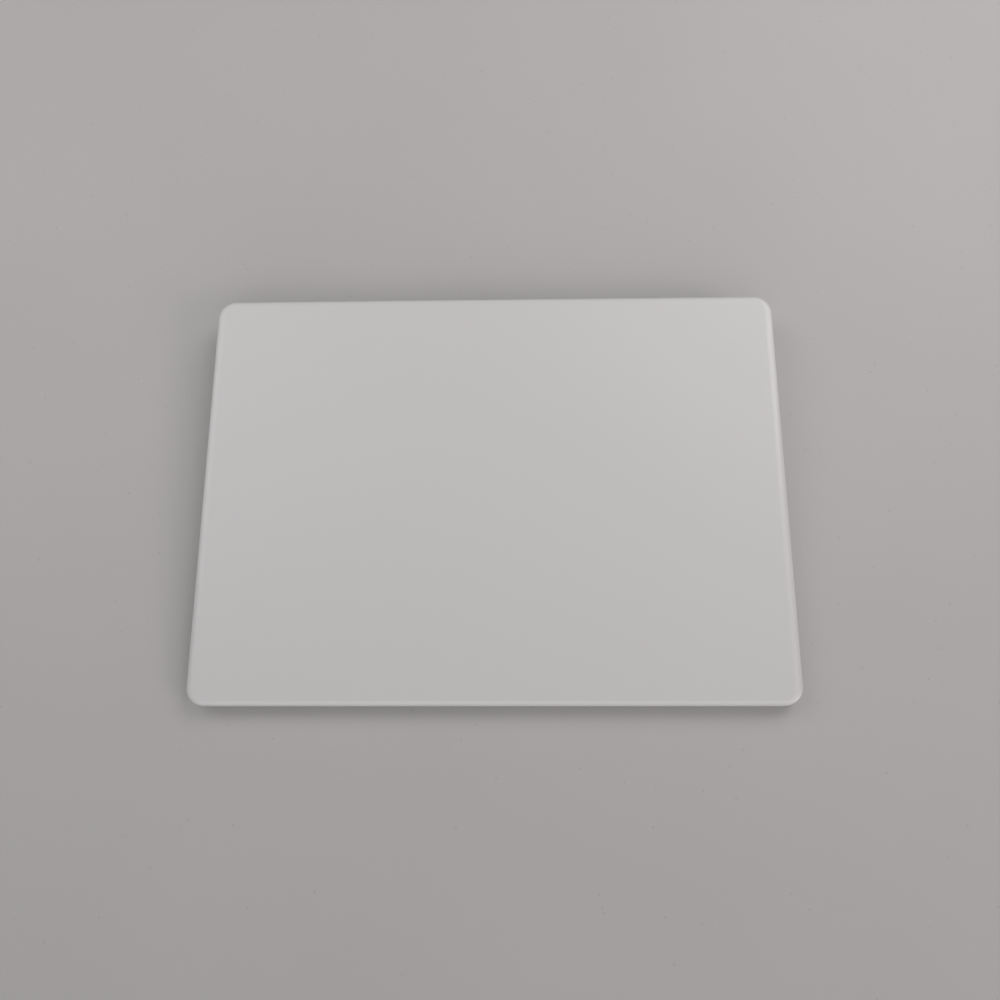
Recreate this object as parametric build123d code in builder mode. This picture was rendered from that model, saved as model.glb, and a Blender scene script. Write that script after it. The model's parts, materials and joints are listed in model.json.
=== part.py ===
from build123d import *
import os
from math import atan2, cos, sin, tan

os.makedirs("parts", exist_ok=True)

# A wireless desk trackpad: a wedge-shaped metal tray under a white glass touch plate.
# Sizes are millimetres. X runs from the user's left to the right, Y from the front edge to
# the rear edge, Z up. The origin is on the table, under the middle of the body.

# Whole body
body_width = 160.0
body_length = 114.9
front_height = 4.9
rear_height = 10.9
corner_radius = 4.8
overrun = 2.0

# How far things move
press_travel = 0.25
shift_travel = 0.2
switch_travel = 2.2

# Layers of the touch plate, each as thick as it is square to the sloping deck
glass_thickness = 1.1
roll_width = 1.9
roll_drop = 0.2
rim_round = 0.5
glass_underside_bevel = 0.15
bond_thickness = 0.1
bond_inset = 3.2
sensor_thickness = 0.7
sensor_shift_gap = 0.5
notch_gap = 1.0
notch_round = 1.5

# Lower case
foot_stand = 0.7
case_wall = 1.5
case_floor = 1.0
slot_spare = 0.1
bottom_round = 1.6
rim_bevel = 0.2
mouth_bevel = 0.12
rib_width = 0.8
rib_height = 0.9
rib_spacing = 11.0
rib_count = 4
rib_wall_gap = 9.0
rib_tray_gap = 6.0

# Feet
foot_radius = 4.75
foot_inset_x = 14.0
foot_inset_y = 12.5
foot_pocket = 0.4
foot_glue_gap = 0.1
foot_edge_bevel = 0.25

# Force sensing at the four corners
spacer_radius = 3.0
spacer_thickness = 0.3
gel_radius = 2.4
gel_thickness = 0.35
flexure_thickness = 0.45
flexure_wall_gap = 1.2
strip_width = 5.0
strip_length = 12.0
strip_bevel = 0.8
tongue_length = 11.0
tongue_width = 3.6
tongue_root_round = 1.2
tip_radius = 3.3
flexure_screw_spacing = 7.2
gauge_length = 2.6
gauge_width = 2.4
gauge_thickness = 0.08
gauge_tail_width = 0.9
gauge_tail_reach = 1.5
boss_inset = 0.3

# Screws
screw_head_radius = 0.95
screw_head_height = 0.4
screw_radius = 0.5
screw_grip = 0.9
screw_hole_gap = 0.05
screw_tip_gap = 0.1
screw_pass_gap = 0.15
screw_sides = 12
boss_side = 3.2

# Haptic actuator: a comb-shaped core pulls the armature towards its pole tips
tray_thickness = 0.3
tray_stand = 0.3
tray_bevel = 1.2
tray_screw_inset = 1.9
pole_count = 4
pole_spacing = 13.6
pole_width = 5.4
pole_thickness = 1.5
pole_length = 17.0
pole_tip_y = 1.0
core_back_width = 4.0
core_end_overhang = 0.6
core_bevel = 0.4
coil_build = 0.35
coil_side_build = 1.9
coil_gap = 0.05
coil_length = 14.0
coil_end_gap = 1.2
coil_bevel = 0.5
armature_gap = 0.5
armature_flange = 8.5
armature_flange_thickness = 0.6
armature_bar_width = 2.0
armature_end_gap = 1.6

# Battery: two flat cells side by side behind the actuator
cell_side_gap = 22.5
cell_middle_gap = 4.0
cell_front_y = 13.5
cell_rear_gap = 2.6
cell_swell_gap = 0.5
cell_corner_bevel = 1.3
cell_edge_bevel = 0.6
seal_fold_width = 0.5
seal_fold_height = 2.4
terrace_length = 3.2
terrace_height = 1.0
adhesive_thickness = 0.15
adhesive_width = 8.0
adhesive_inset = 4.0
battery_board_width = 54.0
battery_board_length = 2.6
lane_gap = 1.5

# Circuit boards and what stands on them
board_thickness = 0.8
board_stand = 0.45
board_bevel = 0.8
logic_tray_gap = 2.5
logic_wall_gap = 8.0
logic_rear_y = 9.0
logic_length = 31.0
logic_screw_inset = 2.2
part_gap = 1.2
can_width = 15.0
can_length = 12.0
can_height = 1.2
can_sheet = 0.15
can_bevel = 0.4
processor_side = 9.0
chip_height = 0.8
radio_width = 8.5
radio_length = 9.5
small_part_length = 2.6
small_part_width = 1.6
small_part_height = 0.7
small_part_spacing = 3.4
small_part_columns = 3
small_part_rows = 2
connector_length = 4.4
connector_width = 1.8
connector_height = 0.6
touch_chip_side = 7.0
touch_chip_gap = 5.0

# Flat ribbons
ribbon_thickness = 0.15
ribbon_width = 3.0
ribbon_bend = 0.3
ribbon_rise = 1.2
rear_ribbon_width = 1.6
rear_ribbon_lap = 1.2
sensor_ribbon_gap = 0.2
sensor_ribbon_reach = 2.4
sensor_lane_gap = 4.2

# Antenna beside the logic board
antenna_width = 26.0
antenna_length = 5.0
antenna_height = 1.3
antenna_front_gap = 3.0
foil_thickness = 0.08
foil_line = 0.7
foil_spacing = 2.8
foil_lines = 8
feed_reach = 1.0

# Charging socket in the middle of the rear wall, a standard size
port_height = 4.7
socket_width = 8.94
socket_height = 3.26
socket_length = 7.35
socket_sheet = 0.3
socket_recess = 0.15
socket_wall_gap = 0.08
socket_fit_gap = 0.03
socket_core_length = 2.0
tongue_plate_width = 6.69
tongue_plate_height = 0.7
tongue_plate_length = 4.45
contact_spacing = 0.5
contact_width = 0.25
contact_length = 3.0
contact_height = 0.06
contact_count = 12
socket_board_width = 18.0
socket_board_length = 9.0
rear_board_gap = 0.3
socket_screw_x = 7.0
socket_screw_inset = 5.0

# Power switch in the rear wall, to the user's right
switch_wall_gap = 28.5
knob_width = 4.6
knob_height = 2.1
knob_play = 0.15
knob_recess = 0.2
knob_rib = 0.25
knob_rib_width = 0.35
knob_rib_spacing = 1.0
knob_rib_count = 3
stem_width = 1.4
stem_height = 1.1
stem_length = 2.2
stem_play = 0.2
housing_width = 11.0
housing_depth = 3.4
housing_wall_gap = 0.05
housing_round = 0.3
mark_width = 1.2
mark_height = 1.9
mark_thickness = 0.2
switch_board_width = 13.0
switch_board_length = 7.0
switch_screw_x = 4.8

# The deck and the planes under it
mid_height = (front_height + rear_height) / 2
tilt = atan2(rear_height - front_height, body_length)
deck = Plane(origin=(0, 0, mid_height), x_dir=(1, 0, 0), z_dir=(0, -sin(tilt), cos(tilt)))
deck_axis = Axis((0, 0, mid_height), (0, -sin(tilt), cos(tilt)))
down = (0, 0, -1)


def deck_at(depth):
    """The plane that lies this deep under the deck."""
    return deck.offset(-depth)


def height_under_deck(y, depth):
    """Height above the table, at this y, of the plane that lies this deep under the deck."""
    return mid_height + y * tan(tilt) - depth / cos(tilt)


def screw_round(radius, mode=Mode.ADD):
    """The outline of a small screw or its hole, which needs only a few sides to look round."""
    RegularPolygon(radius, screw_sides, mode=mode)


# Depths of the undersides of the layers
bond_under = glass_thickness + bond_thickness
sensor_under = bond_under + sensor_thickness
spacer_under = sensor_under + spacer_thickness
gel_under = spacer_under + gel_thickness
flexure_under = gel_under + flexure_thickness
rim_under = glass_thickness + press_travel + slot_spare

# The inside of the case
floor_top = foot_stand + case_floor
inner_half_width = body_width / 2 - case_wall
inner_half_length = body_length / 2 - case_wall

# Force sensor places, as distances from the middle of the deck
strip_x = inner_half_width - flexure_wall_gap - strip_width / 2
strip_inner_x = strip_x - strip_width / 2
tip_x = strip_inner_x - tongue_length + tip_radius
force_y = inner_half_length - flexure_wall_gap - strip_length / 2
corner_signs = {
    "front_left": (-1, -1),
    "front_right": (1, -1),
    "rear_left": (-1, 1),
    "rear_right": (1, 1),
}

# Screw lengths and holes
screw_hole_radius = screw_radius + screw_hole_gap
screw_pass_radius = screw_radius + screw_pass_gap
screw_hole_depth = screw_grip + screw_tip_gap

# Actuator places
tray_bottom = floor_top + tray_stand
tray_top = tray_bottom + tray_thickness
pole_bottom = tray_top + coil_build + coil_gap
core_half_width = (pole_count - 1) * pole_spacing / 2 + pole_width / 2 + core_end_overhang
pole_root_y = pole_tip_y - pole_length
core_back_y = pole_root_y - core_back_width / 2
coil_half_width = (pole_count - 1) * pole_spacing / 2 + pole_width / 2 + coil_gap + coil_side_build
tray_width = 2 * (coil_half_width + 2 * tray_screw_inset)
tray_front_y = pole_root_y - core_back_width - tray_screw_inset / 2
tray_length = pole_tip_y - tray_front_y
tray_y = tray_front_y + tray_length / 2
tray_screw_x = tray_width / 2 - tray_screw_inset
tray_screw_y = tray_length / 2 - tray_screw_inset
bar_front_y = pole_tip_y + armature_gap
armature_width = 2 * (core_half_width - armature_end_gap)

# Ribs fill the empty side, from near the wall to near the tray
rib_outer_x = inner_half_width - rib_wall_gap
rib_inner_x = tray_width / 2 + rib_tray_gap
rib_length = rib_outer_x - rib_inner_x

# Rear boards, battery and logic board places
rear_board_top = port_height - socket_height / 2
rear_board_bottom = rear_board_top - board_thickness
rear_board_edge = inner_half_length - rear_board_gap
socket_board_y = rear_board_edge - socket_board_length / 2
switch_board_y = rear_board_edge - switch_board_length / 2
switch_x = inner_half_width - switch_wall_gap
cell_rear_y = rear_board_edge - socket_board_length - cell_rear_gap
cell_length = cell_rear_y - cell_front_y
cell_edge_x = inner_half_width - cell_side_gap
cell_width = cell_edge_x - cell_middle_gap / 2
cell_x = cell_edge_x - cell_width / 2
cell_y = (cell_front_y + cell_rear_y) / 2
cell_bottom = floor_top + adhesive_thickness
cell_space = height_under_deck(cell_front_y, sensor_under + press_travel) - cell_bottom
cell_thickness = cell_space - cell_swell_gap
terrace_top = cell_bottom + terrace_height
terrace_y = cell_rear_y - terrace_length / 2
battery_board_top = terrace_top + board_thickness
lane_x = cell_edge_x + lane_gap + ribbon_width / 2
logic_left_x = tray_width / 2 + logic_tray_gap
logic_width = inner_half_width - logic_wall_gap - logic_left_x
logic_x = logic_left_x + logic_width / 2
logic_front_y = logic_rear_y - logic_length
logic_y = (logic_front_y + logic_rear_y) / 2
logic_bottom = floor_top + board_stand
logic_top = logic_bottom + board_thickness
connector_top = logic_top + connector_height
lane_connector_y = logic_rear_y - connector_width
logic_right_screw_x = logic_left_x + logic_width - logic_screw_inset
logic_front_screw_y = logic_front_y + logic_screw_inset
logic_screws = [
    (logic_right_screw_x, lane_connector_y - connector_width / 2 - logic_screw_inset),
    (logic_right_screw_x, logic_front_screw_y),
    (logic_left_x + logic_screw_inset, logic_front_screw_y),
]
rear_screw_y = rear_board_edge - socket_screw_inset
rear_screws = [
    (-socket_screw_x, rear_screw_y),
    (socket_screw_x, rear_screw_y),
    (switch_x - switch_screw_x, rear_screw_y),
    (switch_x + switch_screw_x, rear_screw_y),
]
port_connector_y = logic_rear_y - connector_length / 2 - ribbon_width / 2
coil_connector_y = logic_y - connector_length / 2
edge_connector_x = logic_left_x + connector_width
sensor_x = lane_x - ribbon_width / 2 - sensor_lane_gap - sensor_ribbon_reach
sensor_y = logic_rear_y - connector_length

# The moving knob stands at the end of its slot that uncovers the coloured mark
knob_slot_width = knob_width + switch_travel + 2 * knob_play
knob_slot_height = knob_height + 2 * knob_play
knob_x = switch_x + switch_travel / 2


# Touch plate

with BuildPart() as glass_plate:
    with BuildSketch(deck_at(glass_thickness)):
        with Locations((0, -glass_thickness / 2 * tan(tilt))):
            RectangleRounded(
                body_width,
                (body_length - glass_thickness * sin(tilt)) / cos(tilt),
                corner_radius,
            )
    extrude(amount=glass_thickness)
    touch_face = glass_plate.faces().sort_by(deck_axis)[-1]
    chamfer(touch_face.edges(), length=roll_width, length2=roll_drop, reference=touch_face)
    fillet(glass_plate.edges().group_by(deck_axis)[-3], radius=rim_round)
    chamfer(glass_plate.edges().group_by(deck_axis)[0], length=glass_underside_bevel)
glass_plate.part.label = "glass_plate"
export_step(glass_plate.part, "parts/glass_plate.step")


def notched_outline(inset):
    """A rectangle this far inside the body, with a notch round each anchor strip."""
    half_width = body_width / 2 - inset
    half_length = body_length / 2 - inset
    notch_width = half_width - (strip_inner_x - notch_gap)
    notch_length = half_length - (force_y - strip_length / 2 - notch_gap)
    Rectangle(2 * half_width, 2 * half_length)
    for side, end in corner_signs.values():
        with Locations((side * (half_width - notch_width / 2), end * (half_length - notch_length / 2))):
            Rectangle(notch_width, notch_length, mode=Mode.SUBTRACT)


with BuildPart() as bonding_sheet:
    with BuildSketch(deck_at(bond_under)):
        notched_outline(bond_inset)
    extrude(amount=bond_thickness)
bonding_sheet.part.label = "bonding_sheet"
export_step(bonding_sheet.part, "parts/bonding_sheet.step")

with BuildPart() as sensor_board:
    with BuildSketch(deck_at(sensor_under)) as board_outline:
        notched_outline(case_wall + shift_travel + sensor_shift_gap)
        fillet(board_outline.vertices(), radius=notch_round)
    extrude(amount=sensor_thickness)
sensor_board.part.label = "sensor_board"
export_step(sensor_board.part, "parts/sensor_board.step")

with BuildPart() as touch_chips:
    with BuildSketch(deck_at(sensor_under)):
        with Locations((-logic_x, logic_y)):
            with GridLocations(touch_chip_side + touch_chip_gap, touch_chip_side + touch_chip_gap, 2, 2):
                Rectangle(touch_chip_side, touch_chip_side)
    extrude(amount=-chip_height)
touch_chips.part.label = "touch_chips"
export_step(touch_chips.part, "parts/touch_chips.step")

with BuildPart() as sensor_connector:
    with BuildSketch(deck_at(sensor_under)):
        with Locations((sensor_x, sensor_y)):
            Rectangle(connector_width, connector_length)
    extrude(amount=-connector_height)
sensor_connector.part.label = "sensor_connector"
export_step(sensor_connector.part, "parts/sensor_connector.step")

# The armature hangs under the sensor board and puts its bar in front of the pole tips
armature_under = sensor_under + armature_flange_thickness
bar_height = (height_under_deck(bar_front_y, armature_under) - pole_bottom) * cos(tilt)
with BuildPart() as armature:
    with BuildSketch(deck_at(sensor_under)) as flange_outline:
        with Locations((0, bar_front_y + armature_flange / 2)):
            Rectangle(armature_width, armature_flange)
        chamfer(flange_outline.vertices(), length=core_bevel)
    extrude(amount=-armature_flange_thickness)
    with BuildSketch(deck_at(armature_under)) as bar_outline:
        with Locations((0, bar_front_y + armature_bar_width / 2)):
            Rectangle(armature_width, armature_bar_width)
        chamfer(bar_outline.vertices(), length=core_bevel)
    extrude(amount=-bar_height)
armature.part.label = "armature"
export_step(armature.part, "parts/armature.step")

for place, (side, end) in corner_signs.items():
    with BuildPart() as spacer:
        with BuildSketch(deck_at(spacer_under)):
            with Locations((side * tip_x, end * force_y)):
                Circle(spacer_radius)
        extrude(amount=spacer_thickness)
    spacer.part.label = f"spacer_{place}"
    export_step(spacer.part, f"parts/spacer_{place}.step")


# Force sensing

for place, (side, end) in corner_signs.items():
    with BuildPart() as gel_pad:
        with BuildSketch(deck_at(gel_under)):
            with Locations((side * tip_x, end * force_y)):
                Circle(gel_radius)
        extrude(amount=gel_thickness)
    gel_pad.part.label = f"gel_pad_{place}"
    export_step(gel_pad.part, f"parts/gel_pad_{place}.step")

for place, (side, end) in corner_signs.items():
    with BuildPart() as flexure:
        with BuildSketch(deck_at(flexure_under)) as leaf:
            with Locations((side * strip_x, end * force_y)):
                Rectangle(strip_width, strip_length)
            chamfer(leaf.vertices(), length=strip_bevel)
            with Locations((side * (strip_inner_x + tip_x) / 2, end * force_y)):
                Rectangle(strip_inner_x - tip_x, tongue_width)
            with Locations((side * tip_x, end * force_y)):
                Circle(tip_radius)
            root = Vector(side * strip_inner_x, end * force_y)
            fillet(leaf.vertices().sort_by_distance(root)[:2], radius=tongue_root_round)
            with Locations((side * strip_x, end * force_y)):
                with GridLocations(strip_width, flexure_screw_spacing, 1, 2):
                    screw_round(screw_pass_radius, mode=Mode.SUBTRACT)
        extrude(amount=flexure_thickness)
    flexure.part.label = f"flexure_{place}"
    export_step(flexure.part, f"parts/flexure_{place}.step")

# Each gauge is a film on its tongue's root. Its tail runs off the tongue and climbs to the sensor board
gauge_x = strip_inner_x - tongue_root_round - gauge_length / 2
tail_end_y = force_y - tongue_width / 2 - gauge_tail_reach
with BuildPart() as strain_gauges:
    for side, end in corner_signs.values():
        with BuildSketch(deck_at(gel_under)):
            with Locations((side * gauge_x, end * force_y)):
                Rectangle(gauge_length, gauge_width)
            with Locations((side * gauge_x, end * (force_y + tail_end_y) / 2)):
                Rectangle(gauge_tail_width, force_y - tail_end_y)
        extrude(amount=gauge_thickness)
        with BuildSketch(deck_at(gel_under)):
            with Locations((side * gauge_x, end * (tail_end_y + gauge_thickness / 2))):
                Rectangle(gauge_tail_width, gauge_thickness)
        extrude(amount=gel_under - sensor_under)
        with BuildSketch(deck_at(sensor_under)):
            with Locations((side * gauge_x, end * (tail_end_y - gauge_tail_reach / 2))):
                Rectangle(gauge_tail_width, gauge_tail_reach + gauge_thickness * 2)
        extrude(amount=-gauge_thickness)
strain_gauges.part.label = "strain_gauges"
export_step(strain_gauges.part, "parts/strain_gauges.step")

with BuildPart() as flexure_screws:
    for side, end in corner_signs.values():
        with BuildSketch(deck_at(gel_under)):
            with Locations((side * strip_x, end * force_y)):
                with GridLocations(strip_width, flexure_screw_spacing, 1, 2):
                    screw_round(screw_head_radius)
        extrude(amount=screw_head_height)
        with BuildSketch(deck_at(gel_under)):
            with Locations((side * strip_x, end * force_y)):
                with GridLocations(strip_width, flexure_screw_spacing, 1, 2):
                    screw_round(screw_radius)
        extrude(amount=-flexure_thickness - screw_grip)
flexure_screws.part.label = "flexure_screws"
export_step(flexure_screws.part, "parts/flexure_screws.step")


# Lower case

rear_face = Plane.XZ.offset(-body_length / 2)
inner_rear_face = Plane.XZ.offset(-inner_half_length)
with BuildPart() as lower_case:
    with BuildSketch(Plane.XY.offset(foot_stand)):
        RectangleRounded(body_width, body_length, corner_radius)
    extrude(amount=rear_height)
    split(bisect_by=deck_at(rim_under), keep=Keep.BOTTOM)
    fillet(lower_case.edges().group_by(Axis.Z)[0], radius=bottom_round)
    chamfer(lower_case.faces().sort_by(Axis.Z)[-1].edges(), length=rim_bevel)
    with BuildSketch(Plane.XY.offset(floor_top)):
        RectangleRounded(2 * inner_half_width, 2 * inner_half_length, corner_radius - case_wall)
    extrude(amount=rear_height, mode=Mode.SUBTRACT)

    # Sloping bosses that carry the four flexures
    for side, end in corner_signs.values():
        with BuildSketch(deck_at(flexure_under)):
            with Locations((side * strip_x, end * force_y)):
                Rectangle(strip_width - boss_inset, strip_length - boss_inset)
        boss_height = height_under_deck(end * force_y, flexure_under) - floor_top
        extrude(amount=boss_height + case_floor / 2, dir=down)
        with BuildSketch(deck_at(flexure_under)):
            with Locations((side * strip_x, end * force_y)):
                with GridLocations(strip_width, flexure_screw_spacing, 1, 2):
                    screw_round(screw_hole_radius)
        extrude(amount=-screw_hole_depth, mode=Mode.SUBTRACT)

    # Bosses under the actuator tray and the circuit boards
    with BuildSketch(Plane.XY.offset(floor_top)):
        with Locations((0, tray_y)):
            with GridLocations(2 * tray_screw_x, 2 * tray_screw_y, 2, 2):
                Rectangle(boss_side, boss_side)
    extrude(amount=tray_stand)
    with BuildSketch(Plane.XY.offset(floor_top)):
        with Locations(*logic_screws):
            Rectangle(boss_side, boss_side)
    extrude(amount=board_stand)
    with BuildSketch(Plane.XY.offset(floor_top)):
        with Locations(*rear_screws):
            Rectangle(boss_side, boss_side)
    extrude(amount=rear_board_bottom - floor_top)
    with BuildSketch(Plane.XY.offset(tray_bottom)):
        with Locations((0, tray_y)):
            with GridLocations(2 * tray_screw_x, 2 * tray_screw_y, 2, 2):
                screw_round(screw_hole_radius)
    extrude(amount=-screw_hole_depth, mode=Mode.SUBTRACT)
    with BuildSketch(Plane.XY.offset(logic_bottom)):
        with Locations(*logic_screws):
            screw_round(screw_hole_radius)
    extrude(amount=-screw_hole_depth, mode=Mode.SUBTRACT)
    with BuildSketch(Plane.XY.offset(rear_board_bottom)):
        with Locations(*rear_screws):
            screw_round(screw_hole_radius)
    extrude(amount=-screw_hole_depth, mode=Mode.SUBTRACT)

    # Ribs that stiffen the floor on the empty side
    with BuildSketch(Plane.XY.offset(floor_top)):
        with Locations((-(rib_outer_x + rib_inner_x) / 2, logic_y)):
            with GridLocations(rib_length, rib_spacing, 1, rib_count):
                Rectangle(rib_length, rib_width)
            Rectangle(rib_width, (rib_count - 1) * rib_spacing)
    extrude(amount=rib_height)

    # Pockets for the feet
    with BuildSketch(Plane.XY.offset(foot_stand)):
        with GridLocations(body_width - 2 * foot_inset_x, body_length - 2 * foot_inset_y, 2, 2):
            Circle(foot_radius + foot_glue_gap)
    extrude(amount=foot_pocket, mode=Mode.SUBTRACT)

    # The socket's mouth and the switch's slot in the rear wall
    with BuildSketch(rear_face):
        with Locations((0, port_height)):
            SlotOverall(socket_width + 2 * socket_wall_gap, socket_height + 2 * socket_wall_gap)
        with Locations((switch_x, port_height)):
            SlotOverall(knob_slot_width, knob_slot_height)
    extrude(amount=case_wall + overrun, mode=Mode.SUBTRACT)
    rear_wall = lower_case.faces().sort_by(Axis.Y)[-1]
    chamfer(rear_wall.inner_wires().edges(), length=mouth_bevel)
lower_case.part.label = "lower_case"
export_step(lower_case.part, "parts/lower_case.step")

for place, (side, end) in corner_signs.items():
    with BuildPart() as foot:
        with BuildSketch():
            with Locations((side * (body_width / 2 - foot_inset_x), end * (body_length / 2 - foot_inset_y))):
                Circle(foot_radius)
        extrude(amount=foot_stand + foot_pocket)
        chamfer(foot.edges().group_by(Axis.Z)[0], length=foot_edge_bevel)
    foot.part.label = f"foot_{place}"
    export_step(foot.part, f"parts/foot_{place}.step")


# Haptic actuator

with BuildPart() as haptic_tray:
    with BuildSketch(Plane.XY.offset(tray_bottom)) as tray_outline:
        with Locations((0, tray_y)):
            Rectangle(tray_width, tray_length)
        chamfer(tray_outline.vertices(), length=tray_bevel)
        with Locations((0, tray_y)):
            with GridLocations(2 * tray_screw_x, 2 * tray_screw_y, 2, 2):
                screw_round(screw_pass_radius, mode=Mode.SUBTRACT)
    extrude(amount=tray_thickness)
    with BuildSketch(Plane.XY.offset(tray_top)):
        with Locations((0, core_back_y)):
            Rectangle(2 * core_half_width, core_back_width)
    extrude(amount=pole_bottom - tray_top)
haptic_tray.part.label = "haptic_tray"
export_step(haptic_tray.part, "parts/haptic_tray.step")

with BuildPart() as haptic_core:
    with BuildSketch(Plane.XY.offset(pole_bottom)) as core_outline:
        with Locations((0, core_back_y)):
            Rectangle(2 * core_half_width, core_back_width)
        chamfer(core_outline.vertices(), length=core_bevel)
        with Locations((0, (pole_tip_y + core_back_y) / 2)):
            with GridLocations(pole_spacing, pole_length, pole_count, 1):
                Rectangle(pole_width, pole_tip_y - core_back_y)
    extrude(amount=pole_thickness)
haptic_core.part.label = "haptic_core"
export_step(haptic_core.part, "parts/haptic_core.step")

coil_window_height = pole_thickness + 2 * coil_gap
coil_window_width = pole_width + 2 * coil_gap
for number in range(pole_count):
    pole_x = (number - (pole_count - 1) / 2) * pole_spacing
    with BuildPart() as coil:
        with BuildSketch(Plane.XZ.offset(-(pole_tip_y - coil_end_gap))) as winding:
            with Locations((pole_x, pole_bottom + pole_thickness / 2)):
                Rectangle(coil_window_width + 2 * coil_side_build, coil_window_height + 2 * coil_build)
            chamfer(winding.vertices(), length=coil_bevel)
            with Locations((pole_x, pole_bottom + pole_thickness / 2)):
                Rectangle(coil_window_width, coil_window_height, mode=Mode.SUBTRACT)
        extrude(amount=coil_length)
    coil.part.label = f"coil_{number + 1}"
    export_step(coil.part, f"parts/coil_{number + 1}.step")

with BuildPart() as tray_screws:
    with BuildSketch(Plane.XY.offset(tray_top)):
        with Locations((0, tray_y)):
            with GridLocations(2 * tray_screw_x, 2 * tray_screw_y, 2, 2):
                screw_round(screw_head_radius)
    extrude(amount=screw_head_height)
    with BuildSketch(Plane.XY.offset(tray_top)):
        with Locations((0, tray_y)):
            with GridLocations(2 * tray_screw_x, 2 * tray_screw_y, 2, 2):
                screw_round(screw_radius)
    extrude(amount=-tray_thickness - screw_grip)
tray_screws.part.label = "tray_screws"
export_step(tray_screws.part, "parts/tray_screws.step")


# Battery

for place, side in {"left": -1, "right": 1}.items():
    with BuildPart() as cell:
        with BuildSketch(Plane.XY.offset(cell_bottom)) as pouch:
            with Locations((side * cell_x, cell_y - terrace_length / 2)):
                Rectangle(cell_width - 2 * seal_fold_width, cell_length - terrace_length)
            chamfer(pouch.vertices(), length=cell_corner_bevel)
        extrude(amount=cell_thickness)
        chamfer(cell.edges().group_by(Axis.Z)[-1], length=cell_edge_bevel)
        with BuildSketch(Plane.XY.offset(cell_bottom)):
            with Locations((side * cell_x, cell_y - terrace_length / 2)):
                Rectangle(cell_width, cell_length - terrace_length - 2 * cell_corner_bevel)
        extrude(amount=seal_fold_height)
        with BuildSketch(Plane.XY.offset(cell_bottom)):
            with Locations((side * cell_x, terrace_y - cell_corner_bevel)):
                Rectangle(cell_width - 2 * cell_corner_bevel, terrace_length + 2 * cell_corner_bevel)
        extrude(amount=terrace_height)
    cell.part.label = f"cell_{place}"
    export_step(cell.part, f"parts/cell_{place}.step")

with BuildPart() as cell_adhesive:
    with BuildSketch(Plane.XY.offset(floor_top)):
        for side in (-1, 1):
            with Locations((side * cell_x, cell_y)):
                with GridLocations(cell_width - 2 * adhesive_inset - adhesive_width, cell_length, 2, 1):
                    Rectangle(adhesive_width, cell_length - 2 * adhesive_inset)
    extrude(amount=adhesive_thickness)
cell_adhesive.part.label = "cell_adhesive"
export_step(cell_adhesive.part, "parts/cell_adhesive.step")

with BuildPart() as battery_board:
    with BuildSketch(Plane.XY.offset(terrace_top)) as board_outline:
        with Locations((0, terrace_y)):
            Rectangle(battery_board_width, battery_board_length)
        chamfer(board_outline.vertices(), length=board_bevel)
    extrude(amount=board_thickness)
battery_board.part.label = "battery_board"
export_step(battery_board.part, "parts/battery_board.step")


# Logic board

with BuildPart() as logic_board:
    with BuildSketch(Plane.XY.offset(logic_bottom)) as board_outline:
        with Locations((logic_x, logic_y)):
            Rectangle(logic_width, logic_length)
        chamfer(board_outline.vertices(), length=board_bevel)
        with Locations(*logic_screws):
            screw_round(screw_pass_radius, mode=Mode.SUBTRACT)
    extrude(amount=board_thickness)
logic_board.part.label = "logic_board"
export_step(logic_board.part, "parts/logic_board.step")

parts_left_x = edge_connector_x + connector_width / 2 + part_gap
can_x = parts_left_x + can_width / 2
can_y = logic_front_y + part_gap + can_length / 2
parts_front_y = can_y + can_length / 2 + part_gap
with BuildPart() as shield_can:
    with BuildSketch(Plane.XY.offset(logic_top)) as can_outline:
        with Locations((can_x, can_y)):
            Rectangle(can_width, can_length)
        chamfer(can_outline.vertices(), length=can_bevel)
    extrude(amount=can_height)
    with BuildSketch(Plane.XY.offset(logic_top)):
        with Locations((can_x, can_y)):
            Rectangle(can_width - 2 * can_sheet - can_bevel, can_length - 2 * can_sheet - can_bevel)
    extrude(amount=can_height - can_sheet, mode=Mode.SUBTRACT)
shield_can.part.label = "shield_can"
export_step(shield_can.part, "parts/shield_can.step")

with BuildPart() as processor:
    with BuildSketch(Plane.XY.offset(logic_top)):
        with Locations((can_x, can_y)):
            Rectangle(processor_side, processor_side)
    extrude(amount=chip_height)
processor.part.label = "processor"
export_step(processor.part, "parts/processor.step")

with BuildPart() as radio_can:
    with BuildSketch(Plane.XY.offset(logic_top)) as can_outline:
        with Locations((parts_left_x + radio_width / 2, parts_front_y + radio_length / 2)):
            Rectangle(radio_width, radio_length)
        chamfer(can_outline.vertices(), length=can_bevel)
    extrude(amount=chip_height)
radio_can.part.label = "radio_can"
export_step(radio_can.part, "parts/radio_can.step")

with BuildPart() as board_parts:
    with BuildSketch(Plane.XY.offset(logic_top)):
        with Locations((parts_left_x + radio_width + part_gap, parts_front_y)):
            with GridLocations(
                small_part_spacing,
                small_part_spacing,
                small_part_columns,
                small_part_rows,
                align=(Align.MIN, Align.MIN),
            ):
                Rectangle(small_part_length, small_part_width, align=(Align.MIN, Align.MIN))
    extrude(amount=small_part_height)
board_parts.part.label = "board_parts"
export_step(board_parts.part, "parts/board_parts.step")

with BuildPart() as board_connectors:
    with BuildSketch(Plane.XY.offset(logic_top)):
        with Locations((edge_connector_x, port_connector_y), (edge_connector_x, coil_connector_y)):
            Rectangle(connector_width, connector_length)
        with Locations((lane_x, lane_connector_y)):
            Rectangle(connector_length, connector_width)
        with Locations((sensor_x, sensor_y)):
            Rectangle(connector_width, connector_length)
    extrude(amount=connector_height)
board_connectors.part.label = "board_connectors"
export_step(board_connectors.part, "parts/board_connectors.step")

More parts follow.
